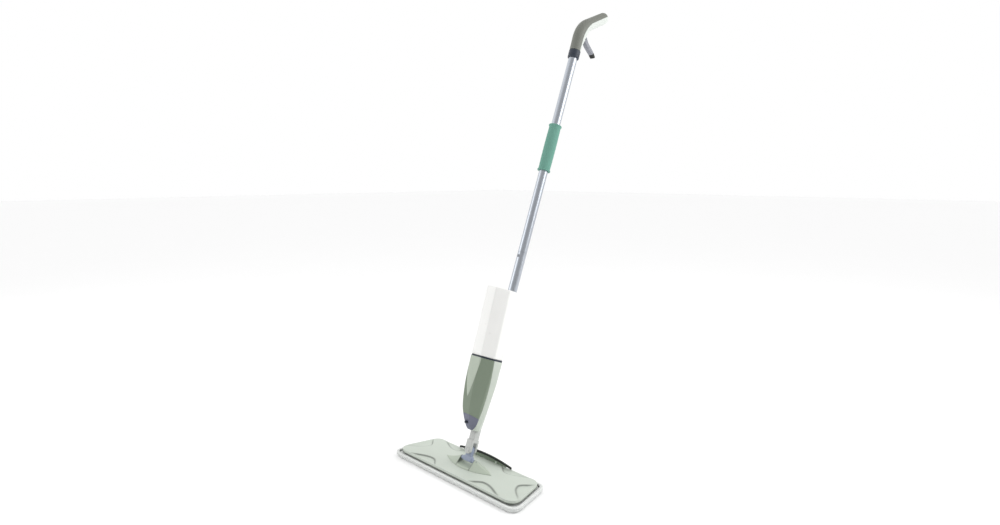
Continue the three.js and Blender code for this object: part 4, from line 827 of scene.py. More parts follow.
MOUNT_LOW, MOUNT_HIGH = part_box("pivot_mount")
MOUNT_GRID = (120, 28)
EAR_INNER = 21.6 * MM
EAR_SHADE = 2.5 * MM  # width of the shade along each ear's inner edge
SADDLE_FLOOR = 23.6 * MM
SADDLE_TOP = 90 * MM
SADDLE_CORNER = 5 * MM
PIN_BORE_HALF = 28.1 * MM  # half the length of the pitch pin's bore
LEAF_POWER = 1.9  # how full the leaf's outline is
CREST_POWER = 1.4  # how hollow the fall to its tips is
ROOF_POWER = 1.2  # how round its back is across
RIDGE_ROUND = 0.004  # keeps the ridge from being sharp
PIN_RADIUS = (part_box("pitch_pin")[1].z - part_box("pitch_pin")[0].z) / 2


def mount_height(x, across):
    """Height of the leaf-shaped mount over its foot, falling in a hollow curve to each tip."""
    half = MOUNT_HIGH.x
    fall = min(1.0, max(0.0, (abs(x) - EAR_INNER) / (half - EAR_INNER)))
    crest = (MOUNT_HIGH.z - MOUNT_LOW.z - 1.0 * MM) * (1 - fall) ** CREST_POWER
    return crest * (1 - math.sqrt(across**2 + RIDGE_ROUND) ** ROOF_POWER)


def build_mount():
    """The leaf-shaped mount: two fins with crests, and ears that hold the pitch pin between them."""
    select_only(None)
    columns, rows = MOUNT_GRID
    bpy.ops.mesh.primitive_grid_add(x_subdivisions=columns, y_subdivisions=rows, size=2)
    mount = bpy.context.object
    half_length, half_width = MOUNT_HIGH.x, MOUNT_HIGH.y

    def leaf(point):
        x = half_length * point.x
        width = max(half_width * (1 - abs(point.x) ** LEAF_POWER), 0.5 * MM)
        rise = 0.7 * MM + max(0, mount_height(x, point.y))
        return Vector((x, width * point.y, MOUNT_LOW.z + rise))

    reshape(mount, leaf)
    with editing(mount):
        bpy.ops.mesh.select_all(action="SELECT")
        bpy.ops.mesh.extrude_region_move(TRANSFORM_OT_translate={"value": (0, 0, -60 * MM)})
        pick(mount, "verts", lambda vertex: vertex.co.z < 0)
        bpy.ops.transform.resize(value=(1, 1, 0), center_override=(0, 0, MOUNT_LOW.z))
    clean(mount)
    saddle = rectangle(-EAR_INNER, SADDLE_FLOOR, EAR_INNER, SADDLE_TOP)
    opening = rounded(saddle, SADDLE_CORNER, 8)
    combine(mount, front_plate(opening, -2 * half_width, 2 * half_width))
    combine(mount, rod(PIN_RADIUS + SEAM, -PIN_BORE_HALF, PIN_BORE_HALF, (PIVOT.y, PIVOT.z), "X"))
    # Painted shade: a darker colour along each ear's inner face.
    paint_crease_shade(mount, lambda place: max(0, 1 - abs(abs(place.x) - EAR_INNER) / EAR_SHADE))
    return settle(mount, "pivot_mount_leaf", "head", "sage_light", "pivot_mount", leaning=False, angle=40)


# ---- Squeegee ------------------------------------------------------------------------------

LIP_HALF = 88 * MM
HOLDER_HALF = 72 * MM
LIP_HEIGHT = 5 * MM
LIP_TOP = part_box("squeegee_blade")[1].z
CROWN_RADIUS = 433 * MM
WEB_HALF = 1.9 * MM  # half thickness of the holder between its ribs
KNUCKLE = 2.4 * MM  # radius of the holder's hinge edge, and half thickness at a rib
RIB_PITCH = 5.5 * MM
RIB_HALF = 0.8 * MM
RIBS_PER_SIDE = 12
NOTCH_HALF = 2.7 * MM  # half width of the notch round each lug
NOTCH_TOP = 3.1 * MM  # its top over the hinge


def crown(top, x):
    """Height of the lip's crowned line that passes through a height at the middle."""
    return top - CROWN_RADIUS + math.sqrt(CROWN_RADIUS**2 - x**2)


def crowned(half, low, high, pieces=28):
    """An outline between two lines that are rules of X."""
    places = [-half + 2 * half * step / pieces for step in range(pieces + 1)]
    return [(x, low(x)) for x in places] + [(x, high(x)) for x in reversed(places)]


def build_squeegee():
    """The squeegee's ribbed holder on its hinge and the soft lip let into its top."""
    foot = LIP_TOP - LIP_HEIGHT
    web = front_plate(
        crowned(HOLDER_HALF, lambda x: HINGE.z, lambda x: crown(foot, x)),
        HINGE.y - WEB_HALF, HINGE.y + WEB_HALF,
    )
    combine(web, rod(KNUCKLE, -HOLDER_HALF, HOLDER_HALF, (HINGE.y, HINGE.z), "X"), "UNION")
    ribs = []
    for index in range(-RIBS_PER_SIDE, RIBS_PER_SIDE + 1):
        x = index * RIB_PITCH
        outline = rectangle(x - RIB_HALF, HINGE.z, x + RIB_HALF, crown(foot, x) - 0.5 * MM)
        ribs.append(front_plate(outline, HINGE.y - KNUCKLE, HINGE.y + KNUCKLE))
    combine(web, merged(ribs), "UNION")
    for side in (-1, 1):
        lug = side * LUG_X
        notch = rectangle(lug - NOTCH_HALF, 10 * MM, lug + NOTCH_HALF, HINGE.z + NOTCH_TOP)
        combine(web, front_plate(notch, HINGE.y - 9 * MM, HINGE.y + 9 * MM))
        reach = 6.3 * MM
        bore = rod(1.35 * MM, lug - reach, lug + reach, (HINGE.y, HINGE.z), "X", steps=20)
        combine(web, bore)
    soften(web, 0.25 * MM, 2, 50)
    settle(web, "squeegee_ribbed_holder", "squeegee", "sage_dark", "squeegee_holder", leaning=False)

    lip = front_plate(
        crowned(LIP_HALF, lambda x: crown(foot + SEAM, x), lambda x: crown(LIP_TOP, x), 40),
        HINGE.y - 1.8 * MM, HINGE.y + 1.8 * MM,
    )
    soften(lip, 0.8 * MM, 3, 50)
    return settle(lip, "squeegee_lip", "squeegee", "black_rubber", "squeegee_blade", leaning=False)


# ---- Cradle, neck and swing pin ------------------------------------------------------------

SWING = TO_HANDLE @ Vector(JOINTS["head_swing"]["pos_m"])
SWING_PIN = handle_box("swing_pin")
NECK = handle_box("neck")
TONGUE = handle_box("cradle")
SLOT_FRONT, SLOT_BACK = -5.9 * MM, 4.9 * MM
SLOT_TOP = 39.5 * MM
PRONG_RADIUS = 9.6 * MM
PRONG_TOP = 46 * MM
SHAFT_HALF_X, SHAFT_HALF_Y = 9 * MM, 9.4 * MM
SPIGOT_RADIUS = 9.2 * MM
BAR_RADIUS = 4.6 * MM
TONGUE_RADIUS = 8 * MM
THROUGH = 20 * MM  # cutting tools reach this far past the handle's middle


def build_cradle():
    """The cross piece: a bar on the pitch pin, a shoulder, and a tongue up to the swing pin."""
    half = -TONGUE[0].x
    bar = rod(BAR_RADIUS, -half, half, (0, 0), "X", edge=0.8 * MM)
    wide, narrow, foot, top = 15 * MM, 11 * MM, -4 * MM, 8.5 * MM
    shoulder = rounded([(-wide, foot), (wide, foot), (narrow, top), (-narrow, top)], 2.5 * MM)
    block = soften(front_plate(shoulder, -5.6 * MM, 4.6 * MM), 0.9 * MM, 3, 50)
    combine(bar, block, "UNION")
    outline = [(-TONGUE_RADIUS, 0), (TONGUE_RADIUS, 0), *arc_points(TONGUE_RADIUS, SWING.z, 0, 181, 10)]
    tongue = soften(front_plate(outline, -5.3 * MM, 4.3 * MM), 0.5 * MM, 2, 50)
    combine(bar, tongue, "UNION")
    combine(bar, rod(PIN_RADIUS + 0.15 * MM, -half - MM, half + MM, (0, 0), "X"))
    combine(bar, rod(2.6 * MM, -THROUGH, THROUGH, (0, SWING.z), "Y"))
    return settle(bar, "cradle_cross", "cradle", "slate_blue", "cradle")


def build_neck():
    """The fork-ended neck with a seat sunk round its pin on each face."""
    prongs = [
        *arc_points(PRONG_RADIUS, SWING.z, 180, 361, 9),
        (SHAFT_HALF_X, PRONG_TOP), (-SHAFT_HALF_X, PRONG_TOP),
    ]
    neck = front_plate(prongs, NECK[0].y, NECK[1].y)
    soften(neck, 1.2 * MM, 4, 50)
    corners = rectangle(-SHAFT_HALF_X, -SHAFT_HALF_Y, SHAFT_HALF_X, SHAFT_HALF_Y)
    combine(neck, plate(rounded(corners, 4 * MM), 40 * MM, 70 * MM), "UNION")
    combine(neck, rod(SPIGOT_RADIUS, 64 * MM, NECK[1].z), "UNION")
    opening = front_plate(rectangle(-THROUGH, 0, THROUGH, SLOT_TOP), SLOT_FRONT, SLOT_BACK)
    combine(neck, soften(opening, 0.8 * MM, 2, 50))
    seat = 1.6 * MM
    combine(neck, rod(2.7 * MM, -THROUGH, THROUGH, (0, SWING.z), "Y"))
    combine(neck, rod(6.5 * MM, -THROUGH, NECK[0].y + seat, (0, SWING.z), "Y"))
    combine(neck, rod(5.3 * MM, NECK[1].y - seat, THROUGH, (0, SWING.z), "Y"))
    soften(neck, 0.25 * MM, 2, 60)
    return settle(neck, "neck_fork", "handle", "neck_grey", "neck")


def build_swing_pin():
    """The swing pin with its ringed round head, and the push-on cap behind."""
    front = SWING_PIN[0].y
    head = 6.2 * MM
    profile = [
        (0, front + 0.9 * MM), (3.4 * MM, front + 0.9 * MM), (4.0 * MM, front + 0.2 * MM),
        (4.6 * MM, front), (5.6 * MM, front), (head, front + 0.5 * MM), (head, front + 2.2 * MM),
        (2.4 * MM, front + 2.2 * MM), (2.4 * MM, SWING_PIN[1].y - 0.4 * MM),
        (2.0 * MM, SWING_PIN[1].y), (0, SWING_PIN[1].y),
    ]
    pin = turned(profile, 48, (0, 0, SWING.z), "Y")
    settle(pin, "swing_pin_ringed", "handle", "neck_grey", "swing_pin")
    low, high = handle_box("swing_pin_cap")
    back = high.y
    cap = turned([
        (0, low.y), (5 * MM, low.y), (5 * MM, back - 0.5 * MM), (4.5 * MM, back),
        (1.8 * MM, back - 0.1 * MM), (1.4 * MM, back - 0.6 * MM), (0, back - 0.6 * MM),
    ], 40, (0, 0, SWING.z), "Y")
    return settle(cap, "swing_pin_push_cap", "handle", "neck_grey", "swing_pin_cap")


# ---- Bottle holder and bottle --------------------------------------------------------------

HOLDER_LOW = handle_box("nose_cap")[0].z
HOLDER_TOP = handle_box("holder_front_shell")[1].z
RING_TOP = handle_box("bottle_seat_ring")[1].z + SEAM
BOTTLE_TOP = handle_box("bottle_body")[1].z
COLUMN = handle_box("bottle_back_column")
TUBE = handle_box("lower_tube")
TUBE_RADIUS = TUBE[1].x
TUBE_WALL = 1.2 * MM
FULL_HALF, FULL_FRONT, FULL_BACK = 38.9 * MM, 63.6 * MM, 15.6 * MM

# How far the holder and bottle reach sideways, forwards and backwards at heights up the handle.
HALF_WIDTHS = [
    (58, 11), (73, 16.5), (88, 20.8), (105, 25.5), (121, 29.5),
    (150, 34.6), (180, 38), (210, 38.9), (238, 38.9), (400, 35.5),
]
FRONT_REACHES = [
    (58, 10), (64, 18), (73, 28), (88, 38.5), (105, 47.5),
    (121, 53), (150, 58), (180, 61), (238, 63.6), (400, 70.5),
]
BACK_SHARES = [(58, 0.76), (130, 0.9), (238, 1), (400, 1)]
RING_SCALE = 0.975
NOZZLE_BORE = 3.5 * MM


def holder_section():
    """The section where the holder is widest: a flat front, wide chamfers, flat sides, a narrow back."""
    side = [(15.6, -63.6, 5), (38.9, -40.3, 7), (38.9, -13.5, 6), (17, 9.6, 4), (11, 15.6, 3)]
    corners = side + [(-x, y, radius) for x, y, radius in reversed(side)]
    return rounded([tuple(part * MM for part in corner) for corner in corners], 5 * MM, 7)


def holder_skin(low, high, inset, levels=36):
    """The outer skin of holder or bottle between two heights, open at both ends."""
    section = [(x, y, 0) for x, y in holder_section()]
    skin = traced(section + section[:1], fill=False)
    with editing(skin):
        bpy.ops.mesh.select_all(action="SELECT")
        bpy.ops.mesh.remove_doubles(threshold=0.01 * MM)
        for _ in range(levels):
            bpy.ops.mesh.extrude_region_move(TRANSFORM_OT_translate={"value": (0, 0, 1 / levels)})

    def form(point):
        height = low + (high - low) * point.z
        half = curve_through(HALF_WIDTHS, height / MM) * MM - inset
        reach = curve_through(FRONT_REACHES, height / MM) * MM - inset
        back = FULL_BACK * curve_through(BACK_SHARES, height / MM) - inset
        return Vector((
            point.x * half / FULL_HALF,
            point.y * (reach / FULL_FRONT if point.y < 0 else back / FULL_BACK),
            height,
        ))

    reshape(skin, form)
    clean(skin)
    return skin


def keep_side(obj, place, facing, fill=False):
    """Cuts a mesh by a plane and keeps the side that the direction points to."""
    with editing(obj):
        bpy.ops.mesh.select_all(action="SELECT")
        bpy.ops.mesh.bisect(
            plane_co=place, plane_no=facing, use_fill=fill, clear_inner=True, clear_outer=False,
        )
    return obj


def closed_skin(low, high, inset, levels=30):
    """The skin with both ends filled."""
    skin = holder_skin(low, high, inset, levels)
    with editing(skin):
        for end in (low, high):
            pick(skin, "edges", lambda edge: edge.is_boundary and abs(edge.verts[0].co.z - end) < 0.01 * MM)
            bpy.ops.mesh.edge_face_add()
    clean(skin)
    return skin


# The joint between front and rear shells, and the top edge of the nose cap, as planes.
SHELL_JOINT = (Vector((0, -24, 95)) * MM, Vector((0, -149, -16.3)).normalized())
NOSE_EDGE = (Vector((0, 0, 90)) * MM, Vector((0, 18, 63.6)).normalized())


def wall(skin, thickness, edge=0.35 * MM):
    """Gives an open skin its wall and softens the rims."""
    modify(skin, "SOLIDIFY", thickness=thickness, offset=-1, use_even_offset=True, use_quality_normals=True)
    return soften(skin, edge, 2, 55)


def tongue_outline(grow):
    """The tongue of painted light on the holder's front, in X and Z."""
    top, tip = HOLDER_TOP + 5 * MM, 142 * MM
    right = [(15.6 * MM + grow, top)]
    for step in range(1, 15):
        share = step / 14
        half = 17.4 * math.sin(math.pi * (0.62 - 0.62 * share) / 1.24) ** 0.8 if share < 1 else 0
        right.append((half * MM + grow * (share < 1), top - (top - tip + grow) * share))
    return right + [(-x, z) for x, z in reversed(right[:-1])]


def build_holder():
    """The bottle holder from one form: front shell in painted shade, tongue in painted light, rear shell and nose
    cap.
    """
    thickness = settings("handle").holder_wall
    joint, forward = SHELL_JOINT
    edge, upward = NOSE_EDGE
    half_seam = SEAM / 2
    form = holder_skin(HOLDER_LOW, HOLDER_TOP, 0, 44)

    rear = keep_side(copy_of(form), joint - forward * half_seam, -forward)
    wall(rear, thickness)
    socket = turned([
        (TUBE_RADIUS + SEAM, 150 * MM), (14 * MM, 150 * MM), (14 * MM, HOLDER_TOP - 3 * MM),
        (TUBE_RADIUS + SEAM, HOLDER_TOP - 3 * MM),
    ], 48)
    combine(rear, socket, "UNION")
    settle(rear, "holder_rear_cover", "handle", "sage_pale", "holder_rear_shell")

    front = keep_side(form, joint + forward * half_seam, forward)
    nose = keep_side(copy_of(front), edge - upward * half_seam, -upward)
    wall(nose, thickness)
    centre = handle_box("spray_nozzle")
    nozzle_z = (centre[0].z + centre[1].z) / 2
    combine(nose, rod(NOZZLE_BORE, -80 * MM, -20 * MM, (0, nozzle_z), "Y"))
    settle(nose, "nose_cap_shell", "handle", "slate", "nose_cap")

    keep_side(front, edge + upward * half_seam, upward)
    modify(front, "SOLIDIFY", thickness=thickness, offset=-1, use_even_offset=True)
    tongue = copy_of(front)
    combine(tongue, front_plate(tongue_outline(0), -90 * MM, -45 * MM), "INTERSECT")
    soften(tongue, 0.25 * MM, 2, 50)
    # Painted light: the tongue's lighter sage stands for the lit face of the holder's front.
    settle(tongue, "holder_light_tongue", "handle", "sage_light", "holder_front_tongue")
    combine(front, front_plate(tongue_outline(0.35 * MM), -90 * MM, -45 * MM))
    soften(front, 0.25 * MM, 2, 50)
    # Painted shade: the front cover's darker sage stands for the shade on the holder's front faces.
    return settle(front, "holder_front_cover", "handle", "sage_dark", "holder_front_shell")


def build_nozzle():
    """The spray nozzle with a dished face and a small jet."""
    low, high = handle_box("spray_nozzle")
    z = (low.z + high.z) / 2
    front, back = low.y, high.y
    nozzle = turned([
        (0.5 * MM, front + 1.6 * MM), (1.6 * MM, front + 1.2 * MM), (2.4 * MM, front + 0.2 * MM),
        (2.8 * MM, front), (3.1 * MM, front + 0.4 * MM), (3.1 * MM, back), (0.5 * MM, back),
    ], 32, (0, 0, z), "Y")
    return settle(nozzle, "nozzle_tip", "handle", "charcoal", "spray_nozzle")


def build_seat_ring():
    """The dark ring that the bottle stands on, with a bridge round the tube."""
    low, high = handle_box("bottle_seat_ring")
    ring = plate([(x * RING_SCALE, y * RING_SCALE) for x, y in holder_section()], low.z, high.z)
    opening = closed_skin(low.z - 2 * MM, high.z + 2 * MM, 5.2 * MM, 1)
    keep_side(opening, Vector((0, -17.2 * MM, 0)), Vector((0, -1, 0)), fill=True)
    combine(ring, opening)
    combine(ring, rod(TUBE_RADIUS + SEAM, low.z - 9 * MM, high.z + 9 * MM))
    return settle(ring, "bottle_seat_rim", "handle", "charcoal", "bottle_seat_ring")


def build_bottle():
    """The white bottle: faceted like its holder, with soft edges, standing in the holder's mouth."""
    round_edge = settings("handle").bottle_edge
    back = handle_box("bottle_body")[1].y
    upper = closed_skin(RING_TOP + 0.2 * MM, BOTTLE_TOP, 0, 30)
    keep_side(upper, Vector((0, back, 0)), Vector((0, -1, 0)), fill=True)
    clean(upper)
    soften(upper, round_edge, 5, 55)
    lower = closed_skin(186 * MM, RING_TOP + 3 * MM, 6.6 * MM, 10)
    keep_side(lower, Vector((0, back, 0)), Vector((0, -1, 0)), fill=True)
    clean(lower)
    soften(lower, 2 * MM, 4, 55)
    combine(upper, lower, "UNION")
    cap = handle_box("bottle_cap")
    centre = (0, (cap[0].y + cap[1].y) / 2)
    combine(upper, rod(12.9 * MM, cap[0].z + 4 * MM, 190 * MM, centre), "UNION")
    settle(upper, "bottle_shell", "bottle", "white_plastic", "bottle_body", angle=40)

    radius = (cap[1].x - cap[0].x) / 2 - 0.5 * MM
    body = rod(radius, cap[0].z, cap[1].z, centre, edge=0.8 * MM)
    ribs = []
    count = 30
    for index in range(count):
        angle = 2 * math.pi * index / count
        place = (radius * math.cos(angle), centre[1] + radius * math.sin(angle))
        ribs.append(rod(0.5 * MM, cap[0].z + MM, cap[1].z - MM, place, steps=8))
    combine(body, merged(ribs), "UNION")
    combine(body, rod(13.3 * MM, cap[0].z + 3.7 * MM, cap[1].z + 5 * MM, centre))
    combine(body, rod(4.3 * MM, cap[0].z - 5 * MM, cap[1].z, centre))
    return settle(body, "bottle_ribbed_cap", "bottle", "white_plastic", "bottle_cap")


def build_column():
    """The white column behind the bottle, closed round the tube."""
    half = COLUMN[1].x
    corners = rounded(rectangle(-half, -half, half, half), 12 * MM, 10)
    column = plate(corners, COLUMN[0].z, COLUMN[1].z)
    soften(column, 2 * MM, 4, 55)
    combine(column, rod(TUBE_RADIUS + SEAM, COLUMN[0].z - 9 * MM, COLUMN[1].z + 9 * MM, steps=72))
    return settle(column, "tube_column", "handle", "white_plastic", "bottle_back_column")


# ---- Tube, soft grip and collar ------------------------------------------------------------


def tube_profile(low, high):
    """A tube wall with rolled rims."""
    outer, inner, edge = TUBE_RADIUS, TUBE_RADIUS - TUBE_WALL, 0.25 * MM
    return [
        (inner, low), (outer - edge, low), (outer, low + edge),
        (outer, high - edge), (outer - edge, high), (inner, high),
    ]


def build_tubes():
    """The two drawn tubes, the lower one with a hole for the snap button."""
    button = handle_box("snap_button")
    height = (button[0].z + button[1].z) / 2
    lower = turned(tube_profile(*(corner.z for corner in TUBE)), 80)
    combine(lower, rod(3.6 * MM, -20 * MM, -4 * MM, (0, height), "Y"))
    settle(lower, "lower_drawn_tube", "handle", "aluminium", "lower_tube")
    upper = turned(tube_profile(*(corner.z for corner in handle_box("upper_tube"))), 80)
    settle(upper, "upper_drawn_tube", "handle", "aluminium", "upper_tube")
    front, back = button[0].y, button[1].y
    snap = turned([
        (0, front), (1.5 * MM, front + 0.15 * MM), (2.6 * MM, front + 0.8 * MM), (3.3 * MM, front + 2 * MM),
        (3.4 * MM, front + 2.8 * MM), (3.4 * MM, back), (0, back),
    ], 40, (0, 0, height), "Y")
    return settle(snap, "snap_button_dome", "snap_button", "trigger_grey", "snap_button")


def build_foam():
    """The soft foam grip: a gentle barrel with rolled end flanges."""
    low, high = (corner.z for corner in handle_box("mid_grip"))
    flange = settings("handle").foam_flange
    bore, rim, body = TUBE_RADIUS + SEAM, 16.2 * MM, 14.4 * MM
    half = [
        (bore, low + 0.6 * MM), (rim - 1.8 * MM, low),
        (rim - 0.5 * MM, low + 0.5 * MM), (rim, low + 1.6 * MM),
        (rim, low + flange - 1.4 * MM), (rim - 0.6 * MM, low + flange - 0.3 * MM),
        (body + 0.2 * MM, low + flange + 0.4 * MM), (body, low + flange + 1.6 * MM),
    ]
    middle = []
    steps = 40
    start, end = low + flange + 3 * MM, high - flange - 3 * MM
    for step in range(steps + 1):
        share = step / steps
        swell = 0.6 * MM * math.sin(math.pi * share)
        ripple = 0.12 * MM * math.cos(2 * math.pi * share * steps / 4)
        middle.append((body + swell + ripple, start + (end - start) * share))
    far = [(radius, low + high - height) for radius, height in reversed(half)]
    foam = turned([*half, *middle, *far], 72)
    return settle(foam, "foam_sleeve", "handle", "teal_foam", "mid_grip", angle=50)


def build_collar():
    """The dark collar that closes the grip onto the tube, with two beads."""
    low, high = (corner.z for corner in handle_box("collar"))
    bore = TUBE_RADIUS + SEAM
    collar = turned([
        (bore, low), (12.6 * MM, low), (13.4 * MM, low + 0.6 * MM), (14.2 * MM, low + 2 * MM),
        (14.4 * MM, low + 3 * MM), (14.4 * MM, low + 6 * MM), (13.8 * MM, low + 6.6 * MM),
        (13.8 * MM, low + 8 * MM), (14.4 * MM, low + 8.6 * MM), (14.4 * MM, high - 0.5 * MM),
        (14 * MM, high), (bore, high),
    ], 72)
    return settle(collar, "collar_beaded", "handle", "charcoal", "collar")


# ---- Bent grip and trigger -----------------------------------------------------------------

GRIP_LOW = handle_box("grip_lower_shell")[0].z
GRIP_BEND = math.radians(46.5)
GRIP_VERTEX = 1093 * MM
GRIP_REACH = 112 * MM
BEND_RADIUS = 70 * MM
BEND_REACH = BEND_RADIUS * math.tan(GRIP_BEND / 2)
BEND_START = GRIP_VERTEX - BEND_REACH
REAR_START = BEND_START - GRIP_LOW + BEND_RADIUS * GRIP_BEND
GRIP_LENGTH = REAR_START + GRIP_REACH - BEND_REACH
REAR_WAY = Vector((0, math.sin(GRIP_BEND), math.cos(GRIP_BEND)))
REAR_UP = Vector((0, -math.cos(GRIP_BEND), math.sin(GRIP_BEND)))

# Half width, reach to the front or top, and reach to the underside, along the grip's middle line.
GRIP_WIDTHS = [(0, 14.2), (30, 14.6), (70, 15.4), (120, 14.8), (176, 13.6), (200, 13)]
GRIP_TOPS = [(0, 14.2), (30, 15), (62, 16.4), (100, 15.2), (176, 14.2), (200, 13.6)]
GRIP_UNDERS = [(0, 14.2), (18, 15.4), (38, 20.6), (56, 19.8), (76, 16.2), (110, 15.3), (200, 14.6)]
TIP_ROUND = 15 * MM


def on_rear(along, above):
    """A point beside the grip's rear run, as (Y, Z)."""
    point = Vector((0, 0, GRIP_VERTEX)) + REAR_WAY * along + REAR_UP * above
    return point.y, point.z


def grip_middle(distance):
    """The grip's middle line: the place and the turn at a distance along it."""
    straight = BEND_START - GRIP_LOW
    if distance <= straight:
        return Vector((0, 0, GRIP_LOW + distance)), 0
    if distance >= REAR_START:
        return Vector((0, *on_rear(BEND_REACH + distance - REAR_START, 0))), GRIP_BEND
    turn = (distance - straight) / BEND_RADIUS
    rise = BEND_RADIUS * math.sin(turn)
    return Vector((0, BEND_RADIUS * (1 - math.cos(turn)), BEND_START + rise)), turn


def grip_form(inset, start, steps=72, sides=48):
    """The grip's closed rounded form, drawn in by an inset."""
    select_only(None)
    bpy.ops.mesh.primitive_circle_add(vertices=sides, radius=1, fill_type="NGON")
    form = bpy.context.object
    with editing(form):
        bpy.ops.mesh.select_all(action="SELECT")
        for _ in range(steps):
            bpy.ops.mesh.extrude_region_move(TRANSFORM_OT_translate={"value": (0, 0, 1 / steps)})
    end = GRIP_LENGTH - inset

    def bent(point):
        share = 1 - max(0.0, 1 - point.z) ** 1.5
        distance = start + (end - start) * share
        middle, turn = grip_middle(distance)
        left = min(1.0, max(0.0, (end - distance) / TIP_ROUND))
        tip = math.sqrt(max(0.0, 1 - (1 - left) ** 2.4)) * 0.97 + 0.03 if left < 1 else 1
        reach = curve_through(GRIP_UNDERS if point.y > 0 else GRIP_TOPS, distance / MM) * MM - inset
        across = point.y * reach * tip
        width = (curve_through(GRIP_WIDTHS, distance / MM) * MM - inset) * tip
        return middle + Vector((
            point.x * width, across * math.cos(turn), -across * math.sin(turn),
        ))

    reshape(form, bent)
    clean(form)
    return form


def cover_space(shift):
    """The space in front of and above the seam between the grip's two shells."""
    front, foot = 3 * MM + shift, GRIP_LOW - 10 * MM
    start = Vector((front, GRIP_VERTEX - 30 * MM))
    bend = Vector((front, GRIP_VERTEX))
    end = Vector(on_rear(34 * MM, 2 * MM - shift))
    curve = [
        tuple(start * (1 - t) ** 2 + bend * 2 * t * (1 - t) + end * t**2)
        for t in (step / 14 for step in range(15))
    ]
    far = on_rear(GRIP_REACH + 20 * MM, 2 * MM - shift)
    outline = [(-0.2, foot), (front, foot), *curve, far, (-0.2, 1.3)]
    return side_plate(outline, 40 * MM)


def build_grip():
    """The bent grip: a dark top cover and a light lower shell with the trigger's slot."""
    thickness = settings("handle").grip_wall
    outer = grip_form(0, 0)
    shell = combine(outer, grip_form(thickness, -2 * MM, 40, 32))
    seat = turned([
        (TUBE_RADIUS + SEAM, GRIP_LOW), (13.2 * MM, GRIP_LOW), (13.2 * MM, GRIP_LOW + 20 * MM),
        (TUBE_RADIUS + SEAM, GRIP_LOW + 20 * MM),
    ], 48)
    combine(shell, seat, "UNION")
    top = combine(copy_of(shell), cover_space(-SEAM / 2), "INTERSECT")
    soften(top, 0.4 * MM, 3, 50)
    settle(top, "grip_top_shell", "handle", "grip_dark", "grip_top_cover", angle=40)

    pivot = TO_HANDLE @ Vector(JOINTS["trigger_squeeze"]["pos_m"])
    slot = rectangle(8 * MM, pivot.z - 30 * MM, 60 * MM, pivot.z + 9 * MM)
    combine(shell, cover_space(SEAM / 2))
    combine(shell, side_plate(rounded(slot, 2 * MM, 3), 6.4 * MM))
    soften(shell, 0.4 * MM, 3, 50)
    return settle(shell, "grip_under_shell", "handle", "grip_light", "grip_lower_shell", angle=40)


def build_trigger():
    """The curved trigger lever on its pivot, and its dark end: a black rubber piece that partly paints the shade
    under the tip.
    """
    pivot = TO_HANDLE @ Vector(JOINTS["trigger_squeeze"]["pos_m"])
    y, z = pivot.y, pivot.z
    tip = handle_box("trigger_tip")
    start = Vector((62 * MM, 1055 * MM))
    half = handle_box("trigger")[1].x
    outline = rounded([
        (y - 14 * MM, z - 2.2 * MM, 1.6 * MM), (y - 10 * MM, z - 2.5 * MM, 1.6 * MM),
        (y, z - 7 * MM, 5 * MM), (y + 14 * MM, z - 15 * MM, 9 * MM),
        (start.x - 2 * MM, start.y - 4.4 * MM, 1 * MM), (start.x + 1.8 * MM, start.y + 3.6 * MM, 1 * MM),
        (y + 12 * MM, z - 3 * MM, 9 * MM), (y + 3 * MM, z + 6 * MM, 4 * MM),
        (y - 10 * MM, z + 2.5 * MM, 1.6 * MM), (y - 14 * MM, z + 2.2 * MM, 1.6 * MM),
    ], MM, 8)
    lever = soften(side_plate(outline, half), 0.9 * MM, 4, 50)
    for side in (-1, 1):
        nose = rectangle(-5 * MM, z - 12 * MM, y - 7 * MM, z + 12 * MM)
        combine(lever, side_plate(nose, 3 * MM, side * 5.6 * MM))
    combine(lever, rod(1.8 * MM, -10 * MM, 10 * MM, (y, z), "X"))
    settle(lever, "trigger_lever", "trigger", "trigger_grey", "trigger")
    # Partly painted shade: the black end also stands for the dark underside of the tip.
    end = rounded([
        (start.x - 1.6 * MM, start.y - 4.7 * MM, 1 * MM),
        (tip[1].y - 4 * MM, tip[0].z + 0.2 * MM, 3 * MM),
        (tip[1].y + 0.2 * MM, tip[0].z + 5 * MM, 3 * MM),
        (start.x + 2.2 * MM, start.y + 3.5 * MM, 1 * MM),
    ], MM, 8)
    pad = soften(side_plate(end, half), 1.0 * MM, 4, 50)
    return settle(pad, "trigger_soft_end", "trigger", "black_rubber", "trigger_tip")


# ---- Mop pad -------------------------------------------------------------------------------

PAD_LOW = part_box("pad_pile")[0].z
PAD_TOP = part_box("pad_binding")[1].z
TAPE_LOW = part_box("pad_binding")[0].z
SIMULATION_STEPS = 20
CLOTH_PRESSURE = 3.0
SWELL_LIMIT = 2.2 * MM
BODY_INSET = 3.4 * MM
FRINGE_INSET = 2.6 * MM
FRINGE_RADIUS = 2 * MM
FRINGE_TILT = math.radians(24)
TUFT_INSET = 6 * MM
TUFT_RADIUS, TUFT_LENGTH = 1.9 * MM, 7 * MM
TUFT_TILT = math.radians(68)
TUFT_HEIGHT = 2.9 * MM
ROW_PACKING = 0.82  # rows of tufts lie closer than the tufts in a row
STITCH_RADIUS, STITCH_LENGTH = 0.36 * MM, 4.4 * MM
STITCH_SLANT = 24  # degrees


